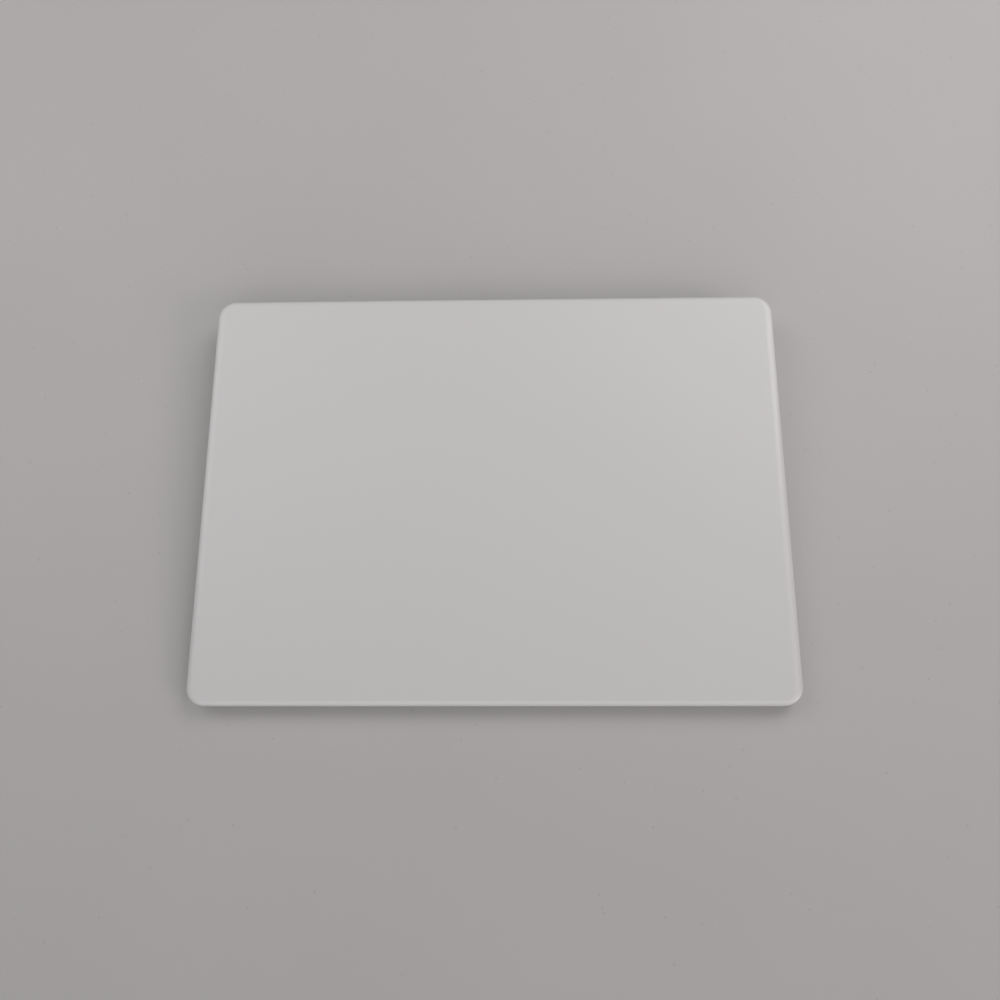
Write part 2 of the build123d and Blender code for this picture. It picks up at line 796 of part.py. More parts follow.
with BuildPart() as board_screws:
    for level, places in ((logic_top, logic_screws), (rear_board_top, rear_screws)):
        with BuildSketch(Plane.XY.offset(level)):
            with Locations(*places):
                screw_round(screw_head_radius)
        extrude(amount=screw_head_height)
        with BuildSketch(Plane.XY.offset(level)):
            with Locations(*places):
                screw_round(screw_radius)
        extrude(amount=-board_thickness - screw_grip)
board_screws.part.label = "board_screws"
export_step(board_screws.part, "parts/board_screws.step")

antenna_y = logic_rear_y - logic_length - antenna_front_gap - antenna_length / 2
with BuildPart() as antenna_carrier:
    with BuildSketch(Plane.XY.offset(floor_top)) as carrier_outline:
        with Locations((logic_x, antenna_y)):
            Rectangle(antenna_width, antenna_length)
        chamfer(carrier_outline.vertices(), length=board_bevel)
    extrude(amount=antenna_height)
antenna_carrier.part.label = "antenna_carrier"
export_step(antenna_carrier.part, "parts/antenna_carrier.step")

foil_length = antenna_length - 2 * foil_line
feed_end_y = logic_front_y + feed_reach
with BuildPart() as antenna_foil:
    with BuildSketch(Plane.XY.offset(floor_top + antenna_height)):
        with Locations((logic_x, antenna_y)):
            with GridLocations(foil_spacing, foil_length, foil_lines, 1):
                Rectangle(foil_line, foil_length)
        for number in range(foil_lines - 1):
            bar_side = 1 if number % 2 == 0 else -1
            bar_x = logic_x + (number + 0.5 - (foil_lines - 1) / 2) * foil_spacing
            with Locations((bar_x, antenna_y + bar_side * (foil_length - foil_line) / 2)):
                Rectangle(foil_spacing, foil_line)
        with Locations((logic_x - (foil_lines - 1) / 2 * foil_spacing, (antenna_y + feed_end_y) / 2)):
            Rectangle(foil_line, feed_end_y - antenna_y)
    extrude(amount=foil_thickness)
antenna_foil.part.label = "antenna_foil"
export_step(antenna_foil.part, "parts/antenna_foil.step")


# Charging socket

socket_front_y = body_length / 2 - socket_recess
socket_back_y = socket_front_y - socket_length
with BuildPart() as socket_shell:
    with BuildSketch(Plane.XZ.offset(-socket_front_y)):
        with Locations((0, port_height)):
            SlotOverall(socket_width, socket_height)
            SlotOverall(
                socket_width - 2 * socket_sheet, socket_height - 2 * socket_sheet, mode=Mode.SUBTRACT
            )
    extrude(amount=socket_length)
socket_shell.part.label = "socket_shell"
export_step(socket_shell.part, "parts/socket_shell.step")

core_trim = 2 * (socket_sheet + socket_fit_gap)
with BuildPart() as socket_core:
    with BuildSketch(Plane.XZ.offset(-socket_back_y)):
        with Locations((0, port_height)):
            SlotOverall(socket_width - core_trim, socket_height - core_trim)
    extrude(amount=-socket_core_length)
    with BuildSketch(Plane.XZ.offset(-socket_back_y - socket_core_length)):
        with Locations((0, port_height)):
            Rectangle(tongue_plate_width, tongue_plate_height)
    extrude(amount=-tongue_plate_length)
    tongue_tip = socket_core.faces().sort_by(Axis.Y)[-1]
    chamfer(tongue_tip.edges(), length=tongue_plate_height / 4)
socket_core.part.label = "socket_core"
export_step(socket_core.part, "parts/socket_core.step")

with BuildPart() as socket_contacts:
    with BuildSketch(Plane.XZ.offset(-socket_back_y - socket_core_length)):
        with Locations((0, port_height)):
            with GridLocations(contact_spacing, tongue_plate_height + contact_height, contact_count, 2):
                Rectangle(contact_width, contact_height)
    extrude(amount=-contact_length)
socket_contacts.part.label = "socket_contacts"
export_step(socket_contacts.part, "parts/socket_contacts.step")

with BuildPart() as socket_board:
    with BuildSketch(Plane.XY.offset(rear_board_bottom)) as board_outline:
        with Locations((0, socket_board_y)):
            Rectangle(socket_board_width, socket_board_length)
        chamfer(board_outline.vertices(), length=board_bevel)
        with Locations(*rear_screws[:2]):
            screw_round(screw_pass_radius, mode=Mode.SUBTRACT)
    extrude(amount=board_thickness)
socket_board.part.label = "socket_board"
export_step(socket_board.part, "parts/socket_board.step")


# Power switch

with BuildPart() as switch_knob:
    with BuildSketch(Plane.XZ.offset(-inner_half_length - knob_play)):
        with Locations((knob_x, port_height)):
            SlotOverall(knob_width, knob_height)
    extrude(amount=-(case_wall - knob_play - knob_recess - knob_rib))
    with BuildSketch(Plane.XZ.offset(-(body_length / 2 - knob_recess - knob_rib))):
        with Locations((knob_x, port_height)):
            with GridLocations(knob_rib_spacing, knob_height, knob_rib_count, 1):
                Rectangle(knob_rib_width, knob_height - 2 * knob_play)
    extrude(amount=-knob_rib)
    with BuildSketch(Plane.XZ.offset(-inner_half_length - knob_play)):
        with Locations((knob_x, port_height)):
            Rectangle(stem_width, stem_height)
    extrude(amount=stem_length + knob_play)
switch_knob.part.label = "switch_knob"
export_step(switch_knob.part, "parts/switch_knob.step")

mark_x = switch_x - (stem_width + switch_travel) / 2 - stem_play - mark_width / 2
housing_plane = Plane.XZ.offset(-inner_half_length + housing_wall_gap)
with BuildPart() as switch_housing:
    with BuildSketch(housing_plane):
        with Locations((switch_x, port_height)):
            RectangleRounded(housing_width, socket_height, housing_round)
    extrude(amount=housing_depth)
    with BuildSketch(housing_plane):
        with Locations((switch_x, port_height)):
            Rectangle(stem_width + switch_travel + 2 * stem_play, stem_height + 2 * stem_play)
    extrude(amount=stem_length + stem_play, mode=Mode.SUBTRACT)
    with BuildSketch(housing_plane):
        with Locations((mark_x, port_height)):
            Rectangle(mark_width, mark_height)
    extrude(amount=mark_thickness, mode=Mode.SUBTRACT)
switch_housing.part.label = "switch_housing"
export_step(switch_housing.part, "parts/switch_housing.step")

with BuildPart() as switch_mark:
    with BuildSketch(housing_plane):
        with Locations((mark_x, port_height)):
            Rectangle(mark_width, mark_height)
    extrude(amount=mark_thickness)
switch_mark.part.label = "switch_mark"
export_step(switch_mark.part, "parts/switch_mark.step")

with BuildPart() as switch_board:
    with BuildSketch(Plane.XY.offset(rear_board_bottom)) as board_outline:
        with Locations((switch_x, switch_board_y)):
            Rectangle(switch_board_width, switch_board_length)
        chamfer(board_outline.vertices(), length=board_bevel)
        with Locations(*rear_screws[2:]):
            screw_round(screw_pass_radius, mode=Mode.SUBTRACT)
    extrude(amount=board_thickness)
switch_board.part.label = "switch_board"
export_step(switch_board.part, "parts/switch_board.step")


# Ribbons


def ribbon(points, across, width):
    """A thin strip of this width, swept along a route with rounded bends."""
    with BuildPart() as strip:
        with BuildLine() as route:
            FilletPolyline(*points, radius=ribbon_bend)
        with BuildSketch(Plane(origin=route.line @ 0, x_dir=across, z_dir=route.line % 0)):
            Rectangle(width, ribbon_thickness)
        sweep()
    return strip.part


on_floor = floor_top + ribbon_thickness / 2
on_connector = connector_top + ribbon_thickness / 2
on_rear_board = rear_board_top + ribbon_thickness / 2
across_x = (1, 0, 0)
across_y = (0, 1, 0)

# From the socket board, between the cells and then along the floor to the logic board
socket_board_front = rear_board_edge - socket_board_length
rear_ribbon_y = rear_screw_y - screw_head_radius - part_gap - rear_ribbon_width / 2
port_run_back = ribbon(
    [
        (0, socket_board_front + ribbon_width, on_rear_board),
        (0, socket_board_front - ribbon_thickness, on_rear_board),
        (0, cell_rear_y, on_floor),
        (0, port_connector_y - ribbon_width / 2, on_floor),
    ],
    across_x,
    ribbon_width,
)
port_run_side = ribbon(
    [
        (-ribbon_width / 2, port_connector_y, on_floor),
        (logic_left_x - ribbon_thickness - ribbon_rise, port_connector_y, on_floor),
        (logic_left_x - ribbon_thickness, port_connector_y, on_connector),
        (edge_connector_x + connector_width / 2, port_connector_y, on_connector),
    ],
    across_y,
    ribbon_width,
)
with BuildPart() as port_ribbon:
    add(port_run_back)
    add(port_run_side)
port_ribbon.part.label = "port_ribbon"
export_step(port_ribbon.part, "parts/port_ribbon.step")

# From the switch board straight across to the socket board
with BuildPart() as switch_ribbon:
    with BuildSketch(Plane.XY.offset(rear_board_top)):
        with Locations(((socket_board_width / 2 + switch_x - switch_board_width / 2) / 2, rear_ribbon_y)):
            Rectangle(
                switch_x - switch_board_width / 2 - socket_board_width / 2 + 2 * rear_ribbon_lap,
                rear_ribbon_width,
            )
    extrude(amount=ribbon_thickness)
switch_ribbon.part.label = "switch_ribbon"
export_step(switch_ribbon.part, "parts/switch_ribbon.step")

# From the actuator tray up to the logic board
with BuildPart() as coil_ribbon:
    add(
        ribbon(
            [
                (tray_screw_x, coil_connector_y, tray_top + ribbon_thickness / 2),
                (tray_width / 2 + ribbon_thickness, coil_connector_y, tray_top + ribbon_thickness / 2),
                (logic_left_x - ribbon_thickness, coil_connector_y, on_connector),
                (edge_connector_x + connector_width / 2, coil_connector_y, on_connector),
            ],
            across_y,
            ribbon_width,
        )
    )
coil_ribbon.part.label = "coil_ribbon"
export_step(coil_ribbon.part, "parts/coil_ribbon.step")

# From the protection board, over the right cell's terrace and forward beside the cell
on_battery_board = battery_board_top + ribbon_thickness / 2
on_terrace = terrace_top + ribbon_thickness / 2
lead_run_side = ribbon(
    [
        (battery_board_width / 2 - ribbon_width, terrace_y, on_battery_board),
        (battery_board_width / 2 + ribbon_thickness, terrace_y, on_battery_board),
        (battery_board_width / 2 + ribbon_rise, terrace_y, on_terrace),
        (cell_edge_x, terrace_y, on_terrace),
        (cell_edge_x + ribbon_rise, terrace_y, on_floor),
        (lane_x + ribbon_width / 2, terrace_y, on_floor),
    ],
    across_y,
    battery_board_length,
)
lead_run_forward = ribbon(
    [
        (lane_x, terrace_y + battery_board_length / 2, on_floor),
        (lane_x, logic_rear_y + ribbon_rise + ribbon_thickness, on_floor),
        (lane_x, logic_rear_y + ribbon_thickness, on_connector),
        (lane_x, lane_connector_y - connector_width / 2, on_connector),
    ],
    across_x,
    ribbon_width,
)
with BuildPart() as battery_lead:
    add(lead_run_side)
    add(lead_run_forward)
battery_lead.part.label = "battery_lead"
export_step(battery_lead.part, "parts/battery_lead.step")

# A folded ribbon that gives as the touch plate moves over the logic board
under_plate = height_under_deck(sensor_y - connector_length / 2, sensor_under + connector_height)
under_connector = under_plate - sensor_ribbon_gap - ribbon_thickness / 2
with BuildPart() as sensor_ribbon:
    add(
        ribbon(
            [
                (sensor_x - connector_width / 2, sensor_y, on_connector),
                (sensor_x + sensor_ribbon_reach, sensor_y, on_connector),
                (sensor_x + sensor_ribbon_reach, sensor_y, under_connector),
                (sensor_x - connector_width / 2, sensor_y, under_connector),
            ],
            across_y,
            connector_length,
        )
    )
sensor_ribbon.part.label = "sensor_ribbon"
export_step(sensor_ribbon.part, "parts/sensor_ribbon.step")
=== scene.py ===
# %% [markdown]
# # A desk trackpad, dressed for a studio photograph
#
# The engineering model already holds every piece at its real size: the wedge of metal, the glass
# on top, and the parts inside. This lesson gives those pieces their looks. Some keep their own
# solid and only get a finish. Others are made again here with finer form, because light shows
# what a plain solid leaves out: the roll at the rim of the glass, the drive in a screw's head,
# the single wires of a coil.
#
# Every length is in metres, in the same frame as the engineering model, so nothing is fitted.

# %% Load the measured pieces
import json
from math import atan2, cos, pi, radians, sin, tan

import bmesh
import bpy
import numpy as np
from mathutils import Matrix, Vector


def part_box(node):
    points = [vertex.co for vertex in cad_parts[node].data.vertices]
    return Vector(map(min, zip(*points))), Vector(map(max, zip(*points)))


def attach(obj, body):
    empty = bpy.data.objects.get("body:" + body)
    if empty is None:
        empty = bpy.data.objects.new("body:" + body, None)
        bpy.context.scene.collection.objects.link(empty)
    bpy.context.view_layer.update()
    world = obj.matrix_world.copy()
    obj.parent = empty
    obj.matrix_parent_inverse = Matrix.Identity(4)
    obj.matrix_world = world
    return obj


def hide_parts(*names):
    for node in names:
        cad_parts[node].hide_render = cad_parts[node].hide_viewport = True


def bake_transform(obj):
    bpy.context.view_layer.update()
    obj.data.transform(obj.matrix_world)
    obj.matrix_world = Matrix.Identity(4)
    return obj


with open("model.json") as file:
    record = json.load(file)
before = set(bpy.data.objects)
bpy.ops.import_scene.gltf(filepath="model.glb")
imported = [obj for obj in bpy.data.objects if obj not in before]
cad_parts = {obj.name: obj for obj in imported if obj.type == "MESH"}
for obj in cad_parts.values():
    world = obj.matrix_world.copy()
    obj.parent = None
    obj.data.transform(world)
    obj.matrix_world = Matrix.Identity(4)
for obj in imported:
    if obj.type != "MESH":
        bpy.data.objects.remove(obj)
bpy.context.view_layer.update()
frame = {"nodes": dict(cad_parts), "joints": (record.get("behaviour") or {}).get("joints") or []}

mm = 0.001
touching = 0.001 * mm  # points closer than this are one point

# %% [markdown]
# ## Helpers for nodes and objects
#
# Geometry, materials and the surrounding light are all made of nodes. One helper adds a node with
# its settings and inputs in a single call, and short ones name the steps that come back most.
# Another starts a group with named inputs and outputs, so that it reads like a recipe.


# %% Add a node
def add(tree, kind, inputs=None, **settings):
    """A node with its settings, and with each input set to a value or linked to another node."""
    node = tree.nodes.new(kind)
    node.location.x = 220 * len(tree.nodes)
    for name, value in settings.items():
        setattr(node, name, value)
    for name, value in (inputs or {}).items():
        if isinstance(value, bpy.types.NodeSocket):
            tree.links.new(value, node.inputs[name])
        else:
            node.inputs[name].default_value = value
    return node


def get(tree, kind, inputs=None, **settings):
    """The first result of a new node."""
    return add(tree, kind, inputs, **settings).outputs[0]


# %% Numbers, vectors and noise
def math(tree, operation, *values):
    """A number worked out from numbers or sockets."""
    return get(tree, "ShaderNodeMath", dict(enumerate(values)), operation=operation)


def times(tree, first, second):
    """Two numbers or sockets, multiplied."""
    return math(tree, "MULTIPLY", first, second)


def ramp(tree, value, start, end, low=0.0, high=1.0, kind="SMOOTHSTEP"):
    """A number that goes from low to high while the value goes from start to end."""
    return add(
        tree, "ShaderNodeMapRange",
        {"Value": value, "From Min": start, "From Max": end, "To Min": low, "To Max": high},
        interpolation_type=kind
    ).outputs["Result"]


def vector_math(tree, operation, *values):
    """A vector worked out from vectors, or the number that is their length or dot product."""
    node = add(tree, "ShaderNodeVectorMath", dict(enumerate(values)), operation=operation)
    return node.outputs["Value" if operation in ("LENGTH", "DOT_PRODUCT") else "Vector"]


def scaled(tree, vector, share):
    """A vector or a colour, times a number."""
    return get(tree, "ShaderNodeVectorMath", {0: vector, "Scale": share}, operation="SCALE")


def split(tree, vector):
    """The X, Y and Z of a vector."""
    return add(tree, "ShaderNodeSeparateXYZ", {0: vector}).outputs


def object_place(tree):
    """Object coordinates, which are real metres on every piece."""
    return add(tree, "ShaderNodeTexCoord").outputs["Object"]


def noise(tree, place, per_metre, detail, **more):
    """A cloudy noise, with so many clouds per metre."""
    inputs = {"Vector": place, "Scale": per_metre, "Detail": detail, **more}
    return add(tree, "ShaderNodeTexNoise", inputs).outputs


# %% Start a group, and put an object in the scene
def start_group(name, kind, inputs, outputs):
    """A node group with named inputs, given as kind and first value, and named outputs."""
    group = bpy.data.node_groups.new(name, kind)
    for label, (socket, value) in inputs.items():
        made = group.interface.new_socket(label, in_out="INPUT", socket_type="NodeSocket" + socket)
        if value is not None:
            made.default_value = value
    for label, socket in outputs.items():
        group.interface.new_socket(label, in_out="OUTPUT", socket_type="NodeSocket" + socket)
    return group, add(group, "NodeGroupInput").outputs, add(group, "NodeGroupOutput").inputs


def into_scene(name, data):
    """A new object in the scene, made of this mesh, curve, camera or light."""
    made = bpy.data.objects.new(name, data)
    bpy.context.scene.collection.objects.link(made)
    return made


# %% [markdown]
# ## Shared effects
#
# Three effects turn up in many finishes, so each is a shader group that is built once. All read
# Object coordinates, so a grain of 0.2 mm stays 0.2 mm on every piece.
#
# - `fine grain` is the tooth of a blasted, etched or moulded surface.
# - `soft mottle` is a slow drift of tone that keeps a large surface from looking computed.
# - `handling marks` are the faint smears that fingers leave on whatever they touch.

# %% Fine grain
group, given, result = start_group(
    "fine grain", "ShaderNodeTree",
    {"Grain size": ("Float", 0.2 * mm), "Stretch": ("Vector", (1, 1, 1))},
    {"Height": "Float"},
)
stretched = vector_math(group, "DIVIDE", object_place(group), given["Stretch"])
per_metre = math(group, "DIVIDE", 1.0, given["Grain size"])
grain = noise(group, stretched, per_metre, 2.0, Roughness=0.6)["Fac"]
group.links.new(math(group, "SUBTRACT", grain, 0.5), result["Height"])
fine_grain = group

# %% Soft mottle
group, given, result = start_group(
    "soft mottle", "ShaderNodeTree",
    {"Patch size": ("Float", 20 * mm), "Amount": ("Float", 0.02)},
    {"Shade": "Float"},
)
per_metre = math(group, "DIVIDE", 1.0, given["Patch size"])
patches = noise(group, object_place(group), per_metre, 3.0, Roughness=0.45)["Fac"]
swing = times(group, math(group, "SUBTRACT", patches, 0.5), 2.0)
shade = math(group, "ADD", 1.0, times(group, swing, given["Amount"]))
group.links.new(shade, result["Shade"])
soft_mottle = group

# %% Handling marks
wanders_per_metre = 60.0
wander_reach = 8 * mm
smear_softness = 0.25

group, given, result = start_group(
    "handling marks", "ShaderNodeTree",
    {"Mark size": ("Float", 14 * mm), "Coverage": ("Float", 0.35)},
    {"Mask": "Float"},
)
place = object_place(group)
wander = noise(group, place, wanders_per_metre, 2.0)["Color"]
bent = vector_math(group, "ADD", place, scaled(group, wander, wander_reach))
per_metre = math(group, "DIVIDE", 1.0, given["Mark size"])
smears = noise(group, bent, per_metre, 4.0, Distortion=0.6)["Fac"]
low = math(group, "SUBTRACT", 1.0, given["Coverage"])
mask = ramp(group, smears, low, math(group, "ADD", low, smear_softness))
group.links.new(mask, result["Mask"])
handling_marks = group
print("shared effects:", ", ".join(g.name for g in bpy.data.node_groups))

# %% [markdown]
# ## One recipe for most finishes
#
# Most finishes here differ in quantities, not in kind: a colour, how metallic and how rough it
# is, how large and how deep its grain is, and how much it shows handling. One function makes
# them all. The special ones, such as glass and circuit board, add their own pattern.


# %% The recipe
smear_dulling = 0.06
grain_dulling = 0.08


def finish(name, colour, roughness, metallic=0.0, grain=0.2 * mm, tooth=0.01 * mm, shade=0.03,
           patch=15 * mm, marks=0.3, stretch=(1, 1, 1)):
    """A material whose tone, gloss and relief all change a little over the surface.

    The colour is three numbers, or a function that adds a coloured pattern to the tree.
    """
    material = bpy.data.materials.new(name)
    material.use_nodes = True
    tree = material.node_tree
    shader = tree.nodes["Principled BSDF"]
    shader.inputs["Metallic"].default_value = metallic
    height = get(tree, "ShaderNodeGroup", {"Grain size": grain, "Stretch": stretch},
                 node_tree=fine_grain)
    drift = get(tree, "ShaderNodeGroup", {"Patch size": patch, "Amount": shade},
                node_tree=soft_mottle)
    smears = get(tree, "ShaderNodeGroup", {"Coverage": marks}, node_tree=handling_marks)
    speckle = math(tree, "ADD", 1.0, times(tree, height, 2 * shade))
    base = colour(tree) if callable(colour) else colour
    toned = scaled(tree, base, times(tree, drift, speckle))
    gloss = math(tree, "ADD", roughness, times(tree, smears, smear_dulling))
    gloss = math(tree, "ADD", gloss, times(tree, height, grain_dulling))
    bump = get(tree, "ShaderNodeBump", {"Height": height, "Distance": tooth})
    for target, value in (("Base Color", toned), ("Roughness", gloss), ("Normal", bump)):
        tree.links.new(value, shader.inputs[target])
    return material


# %% [markdown]
# ## The white glass
#
# The touch surface is one sheet of glass, etched matt on top so that a finger slides, and backed
# with white. Seen from above it is a soft white with a low, wide sheen. Two things change towards
# the rim. The roll is polished after the etching, so it is smoother, and its colour is painted a
# little brighter, a painted highlight. The last half millimetre at the edge is painted darker, a
# painted shade where the rounded edge turns away from the light.
#
# Both masks are attributes that the shape itself stores, so the finish follows the form exactly.


# %% White glass
def make_white_glass(painted_rim_highlight=0.045, painted_edge_shade=0.13, polish_gloss=0.18):
    """Etched white glass; masks rim and edge give a polished roll, a painted highlight and a
    painted shade.
    """
    material = finish("etched_white_glass", (0.812, 0.798, 0.808), roughness=0.4, grain=0.12 * mm,
                      tooth=0.0008 * mm, shade=0.005, patch=45 * mm, marks=0.25)
    tree = material.node_tree
    inputs = tree.nodes["Principled BSDF"].inputs
    etched, matt = (inputs[name].links[0].from_socket for name in ("Base Color", "Roughness"))
    rim, edge = (
        add(tree, "ShaderNodeAttribute", attribute_name=name).outputs["Fac"]
        for name in ("rim", "edge")
    )
    # Colour lifted on the roll: a painted highlight. The lower roughness further down is the real
    # polish.
    lifted = math(tree, "ADD", 1.0, times(tree, rim, painted_rim_highlight))
    # Colour lowered at the outer edge: a painted shade.
    share = math(tree, "SUBTRACT", lifted, times(tree, edge, painted_edge_shade))
    tree.links.new(scaled(tree, etched, share), inputs["Base Color"])
    smoother = math(tree, "SUBTRACT", matt, times(tree, rim, polish_gloss))
    tree.links.new(smoother, inputs["Roughness"])
    return material


# %% [markdown]
# ## Patterns of the electronics
#
# Three finishes inside the case carry a real pattern, and each is a colour worked out from Object
# coordinates. Brick textures with long bricks and thin joints make fine parallel lines: the
# tracks under the dark lacquer of a circuit board, and the grid of a strain gauge. Small dots at
# the cell middles of a Voronoi texture are the plated holes of the board. The core of the
# actuator is a stack of thin sheets, so thin dark lines run round its sides only, one per sheet.


# %% Colour and line helpers
def mix_colours(tree, share, first, second):
    """A colour between two others."""
    inputs = {0: share, 6: first, 7: second}
    return add(tree, "ShaderNodeMix", inputs, data_type="RGBA").outputs[2]


def fine_lines(tree, place, length, spacing, line):
    """A mask of long thin lines, all in metres."""
    inputs = {"Vector": place, "Scale": 1.0, "Mortar Size": line, "Brick Width": length,
              "Row Height": spacing}
    return add(tree, "ShaderNodeTexBrick", inputs).outputs["Fac"]


# %% Circuit board, gauge and laminations
def board_colour(tree, line=0.06 * mm, zones_per_metre=160.0, holes_per_metre=420.0, hole=0.07):
    """Dark lacquer over tracks, which run one way or the other by zones, and plated holes."""
    lengthwise_above, crosswise_below = 0.53, 0.45
    place = object_place(tree)
    turned = get(tree, "ShaderNodeMapping", {"Vector": place, "Rotation": (0, 0, pi / 2)})
    lengthwise = fine_lines(tree, place, 9 * mm, 0.55 * mm, line)
    crosswise = fine_lines(tree, turned, 7 * mm, 0.7 * mm, line)
    zones = noise(tree, place, zones_per_metre, 0.0)["Fac"]
    lengthwise = times(tree, lengthwise, math(tree, "GREATER_THAN", zones, lengthwise_above))
    crosswise = times(tree, crosswise, math(tree, "LESS_THAN", zones, crosswise_below))
    tracks = math(tree, "ADD", lengthwise, crosswise)
    cells = {"Vector": place, "Scale": holes_per_metre, "Randomness": 0.8}
    distance = add(tree, "ShaderNodeTexVoronoi", cells).outputs["Distance"]
    lacquer = mix_colours(tree, tracks, (0.010, 0.026, 0.022, 1), (0.028, 0.065, 0.052, 1))
    plated = math(tree, "LESS_THAN", distance, hole)
    return mix_colours(tree, plated, lacquer, (0.55, 0.42, 0.2, 1))


def gauge_colour(tree):
    """Amber film over the fine grid of the gauge."""
    grid = fine_lines(tree, object_place(tree), 2.1 * mm, 0.16 * mm, 0.045 * mm)
    return mix_colours(tree, grid, (0.68, 0.42, 0.11, 1), (0.22, 0.15, 0.09, 1))


def sheet_colour(tree, foot=2.7 * mm, sheet=0.25 * mm, joint=0.12, steepest=0.5):
    """Bare steel, with a dark line between two sheets wherever the surface is a side."""
    height = split(tree, object_place(tree))["Z"]
    level = math(tree, "DIVIDE", math(tree, "SUBTRACT", height, foot), sheet)
    near_joint = math(tree, "LESS_THAN", math(tree, "PINGPONG", level, 1.0), joint)
    facing = split(tree, add(tree, "ShaderNodeNewGeometry").outputs["Normal"])["Z"]
    on_side = math(tree, "LESS_THAN", math(tree, "ABSOLUTE", facing), steepest)
    line = times(tree, near_joint, on_side)
    return mix_colours(tree, line, (0.46, 0.46, 0.47, 1), (0.16, 0.16, 0.17, 1))


# %% Finishes of the outside
finishes = {"white_glass": make_white_glass()}


def make_finishes(rows):
    """Finishes by slot: name, colour, roughness, metallic, grain and tooth in mm, and the rest."""
    for slot, name, colour, roughness, metallic, grain, tooth, more in rows:
        finishes[slot] = finish(name, colour, roughness, metallic, grain * mm, tooth * mm, **more)


make_finishes((
    ("case_metal", "blasted_aluminium", (0.66, 0.665, 0.67), 0.42, 1.0, 0.09, 0.004,
     {"shade": 0.02}),
    ("foot_rubber", "foot_rubber", (0.09, 0.09, 0.092), 0.7, 0.0, 0.25, 0.012, {"shade": 0.08}),
    ("socket_steel", "drawn_steel", (0.5, 0.5, 0.5), 0.28, 1.0, 0.08, 0.002,
     {"stretch": (1, 12, 1)}),
    ("socket_plastic", "socket_plastic", (0.03, 0.03, 0.032), 0.5, 0.0, 0.1, 0.003,
     {"shade": 0.1}),
    ("contact_gold", "contact_gold", (0.83, 0.6, 0.27), 0.25, 1.0, 0.05, 0.001, {}),
    ("knob_plastic", "knob_plastic", (0.62, 0.625, 0.63), 0.45, 0.0, 0.1, 0.003, {}),
    ("mark_green", "mark_green", (0.03, 0.42, 0.1), 0.45, 0.0, 0.08, 0.002, {"shade": 0.06}),
))

# %% Finishes of the inside
make_finishes((
    ("bond", "clear_bond", (0.7, 0.71, 0.68), 0.35, 0.0, 0.6, 0.01, {"shade": 0.05}),
    ("circuit_board", "circuit_board", board_colour, 0.34, 0.0, 0.3, 0.004, {"shade": 0.08}),
    ("chip", "moulded_chip", (0.035, 0.036, 0.038), 0.6, 0.0, 0.12, 0.006, {"shade": 0.12}),
    ("connector", "connector_plastic", (0.55, 0.52, 0.44), 0.5, 0.0, 0.15, 0.004, {}),
    ("soft_steel", "soft_steel", sheet_colour, 0.4, 1.0, 0.1, 0.003,
     {"stretch": (10, 1, 1), "shade": 0.06}),
    ("spring_steel", "spring_steel", (0.56, 0.56, 0.57), 0.3, 1.0, 0.08, 0.002,
     {"stretch": (1, 12, 1)}),
    ("screw_steel", "screw_steel", (0.6, 0.6, 0.6), 0.3, 1.0, 0.06, 0.002, {}),
    ("shield", "tinned_shield", (0.68, 0.68, 0.66), 0.33, 1.0, 0.3, 0.004, {"shade": 0.05}),
    ("gel", "gel", (0.72, 0.74, 0.78), 0.25, 0.0, 0.5, 0.01, {}),
    ("gauge_film", "gauge_film", gauge_colour, 0.35, 0.0, 0.12, 0.003, {"shade": 0.1}),
    ("coil_copper", "enamelled_copper", (0.72, 0.33, 0.15), 0.32, 1.0, 0.12, 0.002,
     {"shade": 0.08}),
    ("cell_foil", "cell_foil", (0.62, 0.63, 0.64), 0.36, 0.85, 1.2, 0.03, {"shade": 0.05}),
    ("ribbon_film", "ribbon_film", (0.5, 0.2, 0.03), 0.35, 0.0, 0.2, 0.004, {"shade": 0.1}),
    ("carrier_plastic", "carrier_plastic", (0.08, 0.08, 0.085), 0.5, 0.0, 0.15, 0.006,
     {"shade": 0.08}),
))
soft_clear_index = 1.42
for slot, clearness in (("gel", 0.55), ("bond", 0.4)):
    inputs = finishes[slot].node_tree.nodes["Principled BSDF"].inputs
    inputs["Transmission Weight"].default_value = clearness
    inputs["IOR"].default_value = soft_clear_index
print(f"{len(finishes)} finishes")

# %% [markdown]
# ## Give every measured piece its finish
#
# Each measured piece names the finish it needs in its one material slot. Swapping what the slot
# holds leaves the solid itself alone.

# %% Fill the slots
for node in frame["nodes"].values():
    wanted = node.data.materials[0].name
    node.material_slots[0].material = finishes[wanted]
print(f"{len(frame['nodes'])} measured pieces have their finish")

# %% [markdown]
# ## The glass, as a rule
#
# The glass is a main piece with a simple rule: one rim profile swept round a rounded rectangle,
# closed with a flat face above and below. Geometry Nodes say exactly that. The profile starts
# on the flat top, breaks gently into the roll, turns over the edge, goes down the side and ends
# in a small bevel underneath. The photograph shows a narrower roll along the near and far edges
# than along the sides, so the tree draws the profile in where the outline faces that way.
#
# The glass slopes with the body, so its sizes are measured square to the touch surface. The
# direction of that surface is the opposite of the way the touch plate is pressed.

# %% The slope of the touch surface
press = next(joint for joint in frame["joints"] if joint["name"] == "press")
surface_up = -Vector(press["axis"]).normalized()
across = Vector((1, 0, 0))
rearward = surface_up.cross(across)
to_slope = Matrix((across, rearward, surface_up))
from_slope = to_slope.transposed()


def extent_on_slope(node_name):
    """Lowest and highest corner of a measured piece, along the directions of the slope."""
    points = np.array([to_slope @ v.co for v in frame["nodes"][node_name].data.vertices])
    return Vector(points.min(axis=0)), Vector(points.max(axis=0))


glass_low, glass_high = extent_on_slope("glass_plate")
glass_size = glass_high - glass_low
print("glass:", " x ".join(f"{size / mm:.2f}" for size in glass_size), "mm on the slope")

